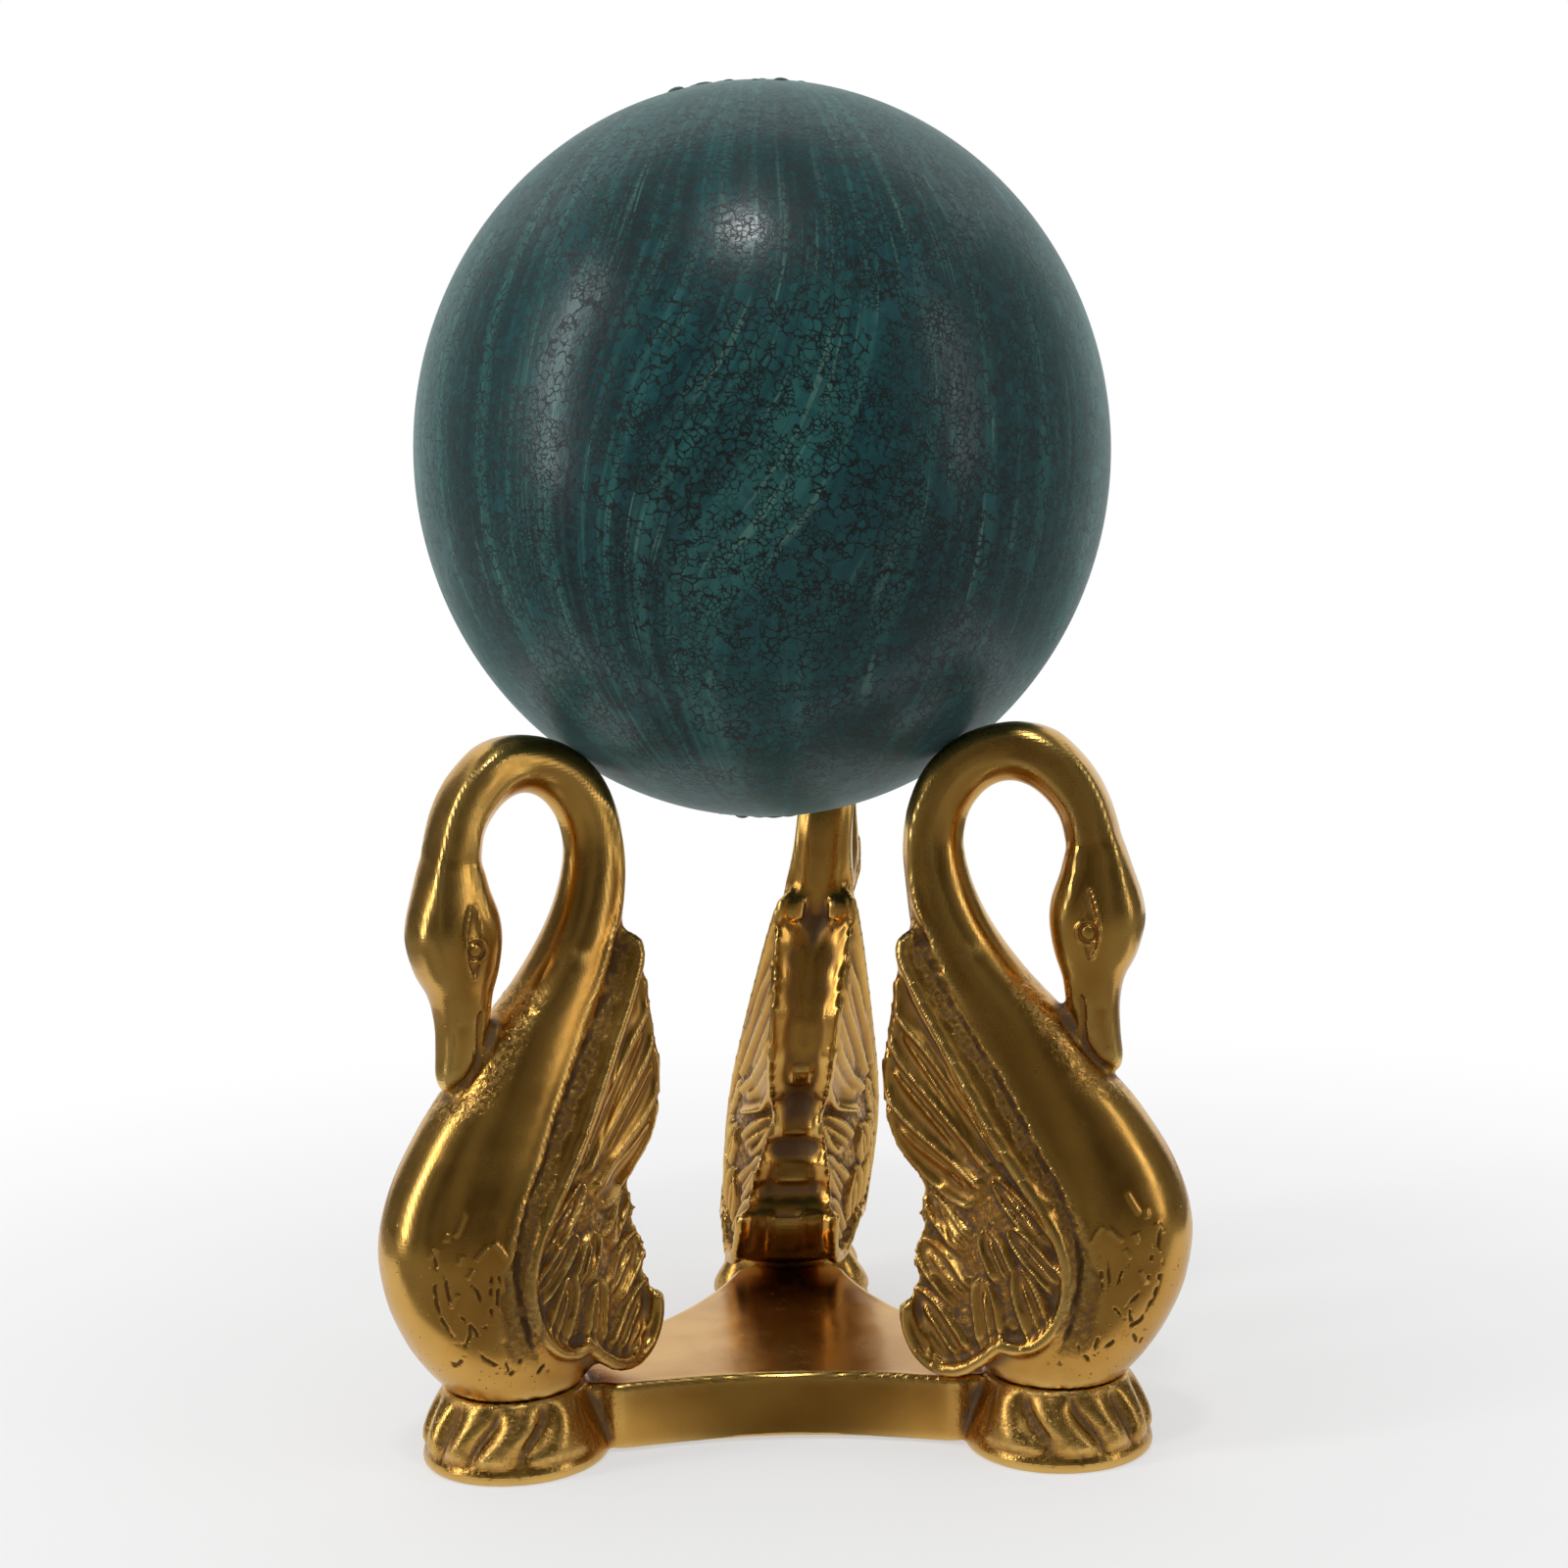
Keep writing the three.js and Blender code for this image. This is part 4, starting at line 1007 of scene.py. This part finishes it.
def paint_pool(upward, reach, count, seed, middle):
    """Paint pooled at a pole: a dome just under the ball's skin, raised over the plug with a wavy edge,
    with drops strewn about a middle as rounded caps, and a stem down the plug's hole."""
    rng = np.random.default_rng(seed)
    radius = np.linspace(0.03, reach, POOL_RINGS)[:, None]
    turn = full_turn(POOL_SIDES)[None, :]
    x, y = radius * np.cos(turn), radius * np.sin(turn)
    edge = PLUG_RADIUS + 1.5 + 0.7 * np.cos(3 * turn + seed) + 0.5 * np.cos(5 * turn + 2)
    lumps = 0.2 * np.cos(1.1 * x + seed) * np.cos(1.4 * y)
    height = (POOL_RISE + lumps) * ease(edge - radius, 0, 1.2) - POOL_SUNK
    spots = middle + rng.normal(0, 1, (count, 2)) * (6.5, 4.5)
    away = np.hypot(*spots.T).clip(PLUG_RADIUS, reach - 2)
    bearing = np.arctan2(spots[:, 1], spots[:, 0])
    size = rng.uniform(0.5, 1.3, count)
    nearest = np.full_like(height, 9.0)
    for a, b, s in zip(away, bearing, size):
        long = (x - a * np.cos(b)) * np.cos(b) + (y - a * np.sin(b)) * np.sin(b)
        wide = (y - a * np.sin(b)) * np.cos(b) - (x - a * np.cos(b)) * np.sin(b)
        share = (long / (1.1 * s)) ** 2 + (wide / (1.5 * s)) ** 2
        height = np.maximum(height, DROP_RISE * s * np.sqrt(np.clip(1 - share, 0, 1)) - POOL_SUNK)
        nearest = np.minimum(nearest, share)
    skin = np.stack([x, y, ball_surface(radius) + height], -1)
    under = np.stack([x[-1], y[-1], ball_surface(reach) - 1 + 0 * y[-1]], -1)
    stem = PLUG_RADIUS * np.stack([np.cos(turn[0]), np.sin(turn[0]), 0 * turn[0]], -1)
    collar = float(ball_surface(PLUG_RADIUS))
    grid = np.concatenate([skin, [under], [stem + (0, 0, collar - 1)], [stem + (0, 0, collar - PLUG_STEM)]])
    mesh = mark_flow(mesh_of("pool", *tube(grid * (1, 1, upward) + BALL_CENTRE)))
    hidden = np.zeros(3 * POOL_SIDES + 2)
    mark(mesh, "drops", np.concatenate([ease(-nearest.ravel(), -1.0, -0.8), hidden]))
    return mesh


def add(tree, kind, inputs=None, **settings):
    """A node with its settings and inputs."""
    made = tree.nodes.new(kind)
    for name, value in settings.items():
        setattr(made, name, value)
    give(tree, made.inputs, inputs or {})
    return made


def give(tree, sockets, values):
    """Links each named socket to its value where that is a socket too, and sets it where it isn't."""
    for name, value in values.items():
        if isinstance(value, bpy.types.NodeSocket):
            tree.links.new(value, sockets[name])
        else:
            sockets[name].default_value = value


def tree_of(*values):
    """The shading tree of the first value that is a socket."""
    return next(value.id_data for value in values if isinstance(value, bpy.types.NodeSocket))


def math_of(operation, a, b=0.0, clamp=False):
    """Sum, product or the like of two values, at least one of them a socket."""
    made = add(tree_of(a, b), "ShaderNodeMath", {0: a, 1: b}, operation=operation, use_clamp=clamp)
    return made.outputs[0]


times, plus, less, most = (partial(math_of, kind) for kind in ("MULTIPLY", "ADD", "SUBTRACT", "MAXIMUM"))


def ramp(value, low, high, to_low=0.0, to_high=1.0):
    """The value carried smoothly from one range to another."""
    limits = {"From Min": low, "From Max": high, "To Min": to_low, "To Max": to_high}
    made = add(tree_of(value), "ShaderNodeMapRange", {"Value": value, **limits},
               interpolation_type="SMOOTHSTEP")
    return made.outputs["Result"]


def blend(share, a, b):
    """Colour a at share 0 and colour b at share 1."""
    made = add(tree_of(share, a, b), "ShaderNodeMix", {0: share, 6: a, 7: b}, data_type="RGBA")
    return made.outputs[2]


def noise(place, scale, detail=3.0, roughness=0.55, distortion=0.0):
    """Smooth random value, with about that many swells to a metre."""
    kind = {"Scale": scale, "Detail": detail, "Roughness": roughness, "Distortion": distortion}
    return add(tree_of(place), "ShaderNodeTexNoise", {"Vector": place, **kind}).outputs[0]


def to_crack(place, scale):
    """Distance to the nearest edge between cells, with about that many cells to a metre."""
    made = add(tree_of(place), "ShaderNodeTexVoronoi", {"Vector": place, "Scale": scale},
               feature="DISTANCE_TO_EDGE")
    return made.outputs["Distance"]


def separate_tints(place, scale):
    """Three random values for each cell."""
    tree = tree_of(place)
    tint = add(tree, "ShaderNodeTexVoronoi", {"Vector": place, "Scale": scale}).outputs["Color"]
    return add(tree, "ShaderNodeSeparateColor", {"Color": tint}).outputs


def effect(name, inputs, outputs):
    """An empty group of shading nodes with those inputs and outputs, and its own end nodes."""
    tree = bpy.data.node_groups.new(name, "ShaderNodeTree")
    for direction, sockets in (("INPUT", inputs), ("OUTPUT", outputs)):
        for label, kind in sockets.items():
            tree.interface.new_socket(label, in_out=direction, socket_type="NodeSocket" + kind)
    return tree, tree.nodes.new("NodeGroupInput").outputs, tree.nodes.new("NodeGroupOutput").inputs


def rgb(red, green, blue):
    """A colour as it is seen on a screen, from 0 to 255, as light values."""
    seen = np.array([red, green, blue]) / 255
    light = np.where(seen <= 0.04045, seen / 12.92, ((seen + 0.055) / 1.055) ** 2.4)
    return (*light.tolist(), 1.0)


def brass_effect():
    """Polished yellow brass with a soft brown tarnish, grey-brown dirt in the hollows, bright worn edges,
    casting grain and cut feather strokes."""
    tree, given, gives = effect(
        "aged_brass", {"Place": "Vector", "Own place": "Vector", "Hollow": "Float", "Worn": "Float",
                       "Grain": "Float", "Breast": "Float", "Cut": "Float"},
        {"Colour": "Color", "Roughness": "Float", "Metal": "Float", "Height": "Float"})
    place = given["Place"]
    clouds = noise(place, 42, 3, 0.5, 0.3)
    colour = blend(ramp(clouds, 0.25, 0.75), rgb(206, 158, 78), rgb(178, 128, 58))
    specks = noise(place, 900, 4, 0.7)
    pits = ramp(noise(place, 1700, 3, 0.6), 0.56, 0.7)
    dirt = less(times(given["Hollow"], 1.5), 0.1)
    rough_dirt = times(given["Grain"], ramp(specks, 0.42, 0.62))
    dirt = plus(dirt, times(rough_dirt, 0.9), True)
    dirt = times(dirt, ramp(clouds, 0.2, 0.7, 0.75, 1.0), True)
    colour = blend(dirt, colour, rgb(102, 78, 54))
    cut = times(punched_pits(given["Own place"]), given["Breast"])
    cut = most(cut, ramp(given["Cut"], 0.2, 0.75))
    colour = blend(times(cut, 0.7), colour, rgb(70, 46, 20))
    shine = times(given["Worn"], less(1.0, dirt, True))
    colour = blend(times(shine, 0.8), colour, rgb(246, 212, 130))
    rough = ramp(noise(place, 120, 5, 0.65), 0.3, 0.7, 0.18, 0.28)
    rough = plus(rough, times(dirt, 0.35))
    rough = plus(rough, times(cut, 0.3))
    rough = plus(rough, times(shine, 0.1))
    metal = less(1.0, times(dirt, 0.45))
    height = times(less(specks, pits), given["Grain"])
    height = less(height, times(cut, 1.4))
    height = plus(height, times(noise(place, 260, 3), 0.2))
    give(tree, gives, {"Colour": colour, "Roughness": rough, "Metal": metal, "Height": height})
    return tree


def punched_pits(own_place):
    """Small dark pits that lie in patches."""
    patches = ramp(noise(own_place, 95, 2), 0.44, 0.56)
    return times(ramp(noise(own_place, 1300, 1), 0.69, 0.75), patches)


def material(name):
    """A new material, its tree, its principled shader and the place on the piece in metres."""
    made = bpy.data.materials.new(name)
    made.use_nodes = True
    tree = made.node_tree
    place = add(tree, "ShaderNodeTexCoord").outputs["Object"]
    return made, tree, tree.nodes["Principled BSDF"], place


def point_mark(tree, name, output="Fac"):
    """What the mesh keeps for each point under that name."""
    return add(tree, "ShaderNodeAttribute", attribute_name=name).outputs[output]


def bumps(height, strength, distance):
    """The skin's direction as tipped by small heights, of which 1 stands for that distance in metres."""
    made = add(tree_of(height), "ShaderNodeBump",
               {"Height": height, "Strength": strength, "Distance": distance})
    return made.outputs[0]


def brass(effects):
    """The castings' brass, from the marks kept on their points."""
    made, tree, shader, place = material("cast_brass")
    marks = {"Place": place, "Own place": point_mark(tree, "own_place", "Vector")}
    for label in ("hollow", "worn", "grain", "breast", "cut"):
        marks[label.capitalize()] = point_mark(tree, label)
    look = add(tree, "ShaderNodeGroup", marks, node_tree=effects).outputs
    give(tree, shader.inputs, {
        "Base Color": look["Colour"], "Roughness": look["Roughness"], "Metallic": look["Metal"],
        "Normal": bumps(look["Height"], 0.35, 0.0003),
    })
    return made


def marbling_effect():
    """Teal paint in streaks along the lines of equal flow: noise across the flow at three widths, which
    changes slowly along the height, with clouds, under crackle lines of three sizes of cells."""
    tree, given, gives = effect("marbled_teal", {"Place": "Vector", "Flow": "Float"},
                                {"Colour": "Color", "Roughness": "Float", "Height": "Float"})
    place = given["Place"]
    upright = add(tree, "ShaderNodeSeparateXYZ", {0: place}).outputs["Z"]
    slow = times(upright, 0.03)
    drawn = add(tree, "ShaderNodeCombineXYZ", {"X": given["Flow"], "Y": slow}).outputs[0]
    bands = noise(drawn, 62, 2, 0.5)
    streaks = noise(drawn, 310, 2, 0.55)
    threads = noise(drawn, 1150, 1, 0.5)
    clouds = noise(place, 38, 3, 0.55)
    colour = blend(ramp(bands, 0.32, 0.64), rgb(0, 29, 38), rgb(5, 60, 63))
    colour = blend(ramp(clouds, 0.38, 0.66, 0.0, 0.5), colour, rgb(2, 48, 55))
    pale = times(ramp(streaks, 0.46, 0.66), ramp(bands, 0.3, 0.54))
    colour = blend(times(pale, 0.75), colour, rgb(36, 90, 86))
    deep = times(ramp(streaks, 0.46, 0.32), ramp(bands, 0.58, 0.36))
    colour = blend(times(deep, 0.85), colour, rgb(0, 25, 35))
    thread = times(ramp(threads, 0.56, 0.66), ramp(streaks, 0.44, 0.58))
    thread = times(thread, ramp(noise(place, 60, 2), 0.36, 0.58))
    colour = blend(times(thread, 0.5), colour, rgb(86, 122, 106))
    bent = add(tree, "ShaderNodeTexNoise", {"Vector": place, "Scale": 620.0, "Detail": 2.0})
    bent = add(tree, "ShaderNodeVectorMath", {0: bent.outputs[1], "Scale": 0.0014}, operation="SCALE")
    bent = add(tree, "ShaderNodeVectorMath", {0: place, 1: bent.outputs[0]}, operation="ADD").outputs[0]
    patches = ramp(noise(place, 55, 2), 0.45, 0.55)
    small = ramp(to_crack(bent, 980), 0.03, 0.17, 1.0, 0.0)
    medium = ramp(to_crack(bent, 600), 0.03, 0.12, 1.0, 0.0)
    fine_line = plus(times(small, patches),
                        times(medium, less(1.0, patches)))
    flake = separate_tints(bent, 330)
    whole = ramp(flake[0], 0.86, 0.9)
    fine_line = times(fine_line, less(1.0, whole))
    wide_line = ramp(to_crack(bent, 330), 0.012, 0.05, 1.0, 0.0)
    wide_line = times(wide_line, ramp(noise(place, 130, 2), 0.46, 0.58))
    broken = ramp(noise(place, 560, 2), 0.33, 0.5)
    line = times(most(fine_line, wide_line), broken)
    pebble = separate_tints(bent, 600)
    colour = blend(ramp(flake[1], 0.2, 1.0, 0.0, 0.2), colour, rgb(6, 70, 74))
    colour = blend(ramp(pebble[0], 0.45, 1.0, 0.0, 0.22), colour, rgb(15, 82, 85))
    colour = blend(ramp(pebble[1], 0.6, 1.0, 0.0, 0.3), colour, rgb(1, 33, 40))
    colour = blend(times(line, 0.95), colour, rgb(3, 13, 15))
    peel = noise(place, 760, 2, 0.5)
    height = less(peel, times(line, 0.12))
    rough = plus(ramp(noise(place, 90, 3), 0.3, 0.7, 0.19, 0.26),
                    times(line, 0.2))
    give(tree, gives, {"Colour": colour, "Roughness": rough, "Height": height})
    return tree


def marbled_paint(effects, name, drops):
    """The ball's satin paint under a thin varnish that mirrors less towards the ball's edges, with a pale
    teal bloom there; on the pools, drops of dark green over green paint stained yellow-green."""
    made, tree, shader, place = material(name)
    marks = {"Place": place, "Flow": point_mark(tree, "flow")}
    look = add(tree, "ShaderNodeGroup", marks, node_tree=effects).outputs
    colour = look["Colour"]
    if drops:
        stain = ramp(noise(place, 210, 3), 0.5, 0.62)
        pool = blend(stain, rgb(8, 58, 44), rgb(70, 104, 34))
        colour = blend(0.8, colour, pool)
        colour = blend(point_mark(tree, "drops"), colour, rgb(4, 44, 30))
    bump = bumps(look["Height"], 0.12, 0.0003)
    facing = add(tree, "ShaderNodeLayerWeight", {"Blend": 0.5}).outputs["Facing"]
    give(tree, shader.inputs, {
        "Base Color": colour, "Roughness": 0.5, "Specular IOR Level": 0.1, "Normal": bump,
        "Coat Weight": ramp(facing, 0.3, 0.8, 0.75, 0.14), "Coat Roughness": look["Roughness"],
        "Coat IOR": 1.42, "Coat Normal": bump,
        "Sheen Weight": 0.3, "Sheen Roughness": 0.45, "Sheen Tint": rgb(190, 240, 236),
    })
    return made


def plain_steel():
    """Plain steel with a faint drawn grain and dull patches."""
    made, tree, shader, place = material("fastener_steel")
    patches = noise(place, 300, 4, 0.6)
    drawn = add(tree, "ShaderNodeMapping", {"Vector": place, "Scale": (1, 12, 1)}).outputs[0]
    lines = noise(drawn, 900, 2)
    give(tree, shader.inputs, {
        "Base Color": blend(ramp(patches, 0.4, 0.7), rgb(168, 168, 166), rgb(120, 116, 110)),
        "Roughness": ramp(lines, 0.3, 0.7, 0.28, 0.46), "Metallic": 1.0,
        "Normal": bumps(lines, 0.15, 0.0002),
    })
    return made


def camera_share(tree, lit):
    """1 for rays from the camera, mirrors and glass, and the given share for the light itself."""
    path = add(tree, "ShaderNodeLightPath").outputs
    seen = most(path["Is Camera Ray"], path["Is Glossy Ray"])
    seen = most(seen, path["Is Transmission Ray"])
    return ramp(seen, 0.0, 1.0, lit, 1.0)


def studio():
    """White world and floor, one small overhead lamp, two tall soft ones at the sides, and cards that the
    metal mirrors as it would a room."""
    scene = bpy.context.scene
    scene.view_settings.view_transform = "Standard"
    world = bpy.data.worlds.new("white_room")
    world.use_nodes = True
    scene.world = world
    tree = world.node_tree
    give(tree, tree.nodes["Background"].inputs,
         {"Color": (1, 1, 1, 1), "Strength": camera_share(tree, WORLD_LIGHT)})

    side = 2 * FLOOR_HALF
    floor = rectangle("floor", (0, 0, SOLE_HEIGHT), (side, 0, 0), (0, side, 0))
    made, tree, shader, place = material("white_floor")
    give(tree, shader.inputs, {"Base Color": (0.8, 0.8, 0.8, 1), "Roughness": 0.9})
    white = add(tree, "ShaderNodeEmission", {"Color": (1, 1, 1, 1), "Strength": 1.0}).outputs[0]
    away = add(tree, "ShaderNodeVectorMath", {0: place}, operation="LENGTH").outputs["Value"]
    share = times(camera_share(tree, 0.0), ramp(away, 0.08, 0.4, 0.5, 1.0))
    mixed = add(tree, "ShaderNodeMixShader", {0: share, 1: shader.outputs[0], 2: white}).outputs[0]
    tree.links.new(mixed, tree.nodes["Material Output"].inputs["Surface"])
    floor.data.materials.append(made)

    for row in LAMPS:
        lamp(*row)
    tones = {made.name: made for made in (
        room_tone("room_tone", rgb(72, 66, 57), rgb(126, 123, 110)),
        room_tone("table_tone", rgb(110, 103, 92), rgb(150, 146, 134)),
        room_tone("table_middle_tone", rgb(100, 93, 82), rgb(140, 136, 124), (0.005, 0.03)),
    )}
    for name, middle, along, up, tone in CARDS:
        card(rectangle(name, middle, along, up), tones[tone])


def room_tone(name, dark, light, fade=None):
    """Dull grey-brown in soft upright bars, like a room that a polished thing mirrors; with a fade, clear
    beyond those two distances to the sides."""
    made, tree, shader, place = material(name)
    upright = add(tree, "ShaderNodeMapping", {"Vector": place, "Scale": (1, 1, 0.2)}).outputs[0]
    bars = ramp(noise(upright, 2.6, 2), 0.38, 0.62)
    give(tree, shader.inputs, {"Base Color": blend(bars, dark, light), "Roughness": 0.9})
    if fade:
        aside = math_of("ABSOLUTE", add(tree, "ShaderNodeSeparateXYZ", {0: place}).outputs["X"])
        tree.links.new(ramp(aside, *fade, 1.0, 0.0), shader.inputs["Alpha"])
    return made


def rectangle(name, middle, along, up):
    """A flat rectangle about its middle, with those two sides."""
    halves = np.array([(-1, -1), (1, -1), (1, 1), (-1, 1)]) / 2
    corners = np.array(middle) + halves @ np.array([along, up])
    return piece(name, mesh_of(name, corners, np.array([(0, 1, 2), (0, 2, 3)])))


def card(made, tone):
    """Makes a studio card of a rectangle, which only shows in reflections."""
    made.data.materials.append(tone)
    made.visible_camera = False
    made.visible_shadow = False
    made.visible_diffuse = False


def lamp(name, direction, distance, size, power):
    """A soft rectangular lamp in that direction from the aim, facing it."""
    light = bpy.data.lights.new(name, "AREA")
    light.shape, light.energy = "RECTANGLE", power
    light.size, light.size_y = size
    made = in_scene(name, light)
    towards = Vector(direction).normalized()
    made.location = Vector(LAMP_AIM) + distance * towards
    made.rotation_euler = towards.to_track_quat("Z", "Y").to_euler()


def camera():
    """Camera turned by its yaw, then its pitch downwards, then its roll."""
    yaw, pitch, roll = (math.radians(a) for a in (CAMERA_YAW, CAMERA_PITCH, CAMERA_ROLL))
    right = Vector((math.cos(yaw), math.sin(yaw), 0))
    level = Vector((-math.sin(yaw), math.cos(yaw), 0))
    up = Vector((0, 0, 1))
    ahead = level * math.cos(pitch) - up * math.sin(pitch)
    up = up * math.cos(pitch) + level * math.sin(pitch)
    right, up = right * math.cos(roll) + up * math.sin(roll), up * math.cos(roll) - right * math.sin(roll)
    data = bpy.data.cameras.new("camera")
    data.lens, data.sensor_width, data.sensor_fit = CAMERA_LENS, 36, "HORIZONTAL"
    data.clip_start = 0.01
    made = in_scene("camera", data)
    turn = Matrix((right, up, -ahead)).transposed().to_4x4()
    made.matrix_world = Matrix.Translation(Vector(CAMERA_PLACE) * MM) @ turn
    bpy.context.scene.camera = made


def dress(made, node, finish, body):
    """A piece takes its finish, stands for its CAD node and moves with its body."""
    made.data.materials.clear()
    made.data.materials.append(finish)
    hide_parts(node)
    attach(made, body)


studio()
camera()
brass_look = brass(brass_effect())
swan = swan_mesh()
for corner, stance in CORNERS.items():
    dress(piece("brass_swan_" + corner, placed_swan(swan, *stance)), "swan_" + corner, brass_look,
          "stand")
dress(base_mesh(), "base_casting", brass_look, "stand")
marbling = marbling_effect()
dress(piece("marbled_ball", ball_mesh()), "ball_core", marbled_paint(marbling, "marbled_paint", False),
      "ball")
pooled = marbled_paint(marbling, "pooled_paint", True)
for end, *pool in POOLS:
    dress(piece("paint_pool_" + end, paint_pool(*pool)), "ball_" + end + "_plug", pooled,
          "ball")
steel = plain_steel()
for corner in CORNERS:
    for fastener in ("swan_screw_", "screw_washer_"):
        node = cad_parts[fastener + corner]
        node.data.materials.clear()
        node.data.materials.append(steel)
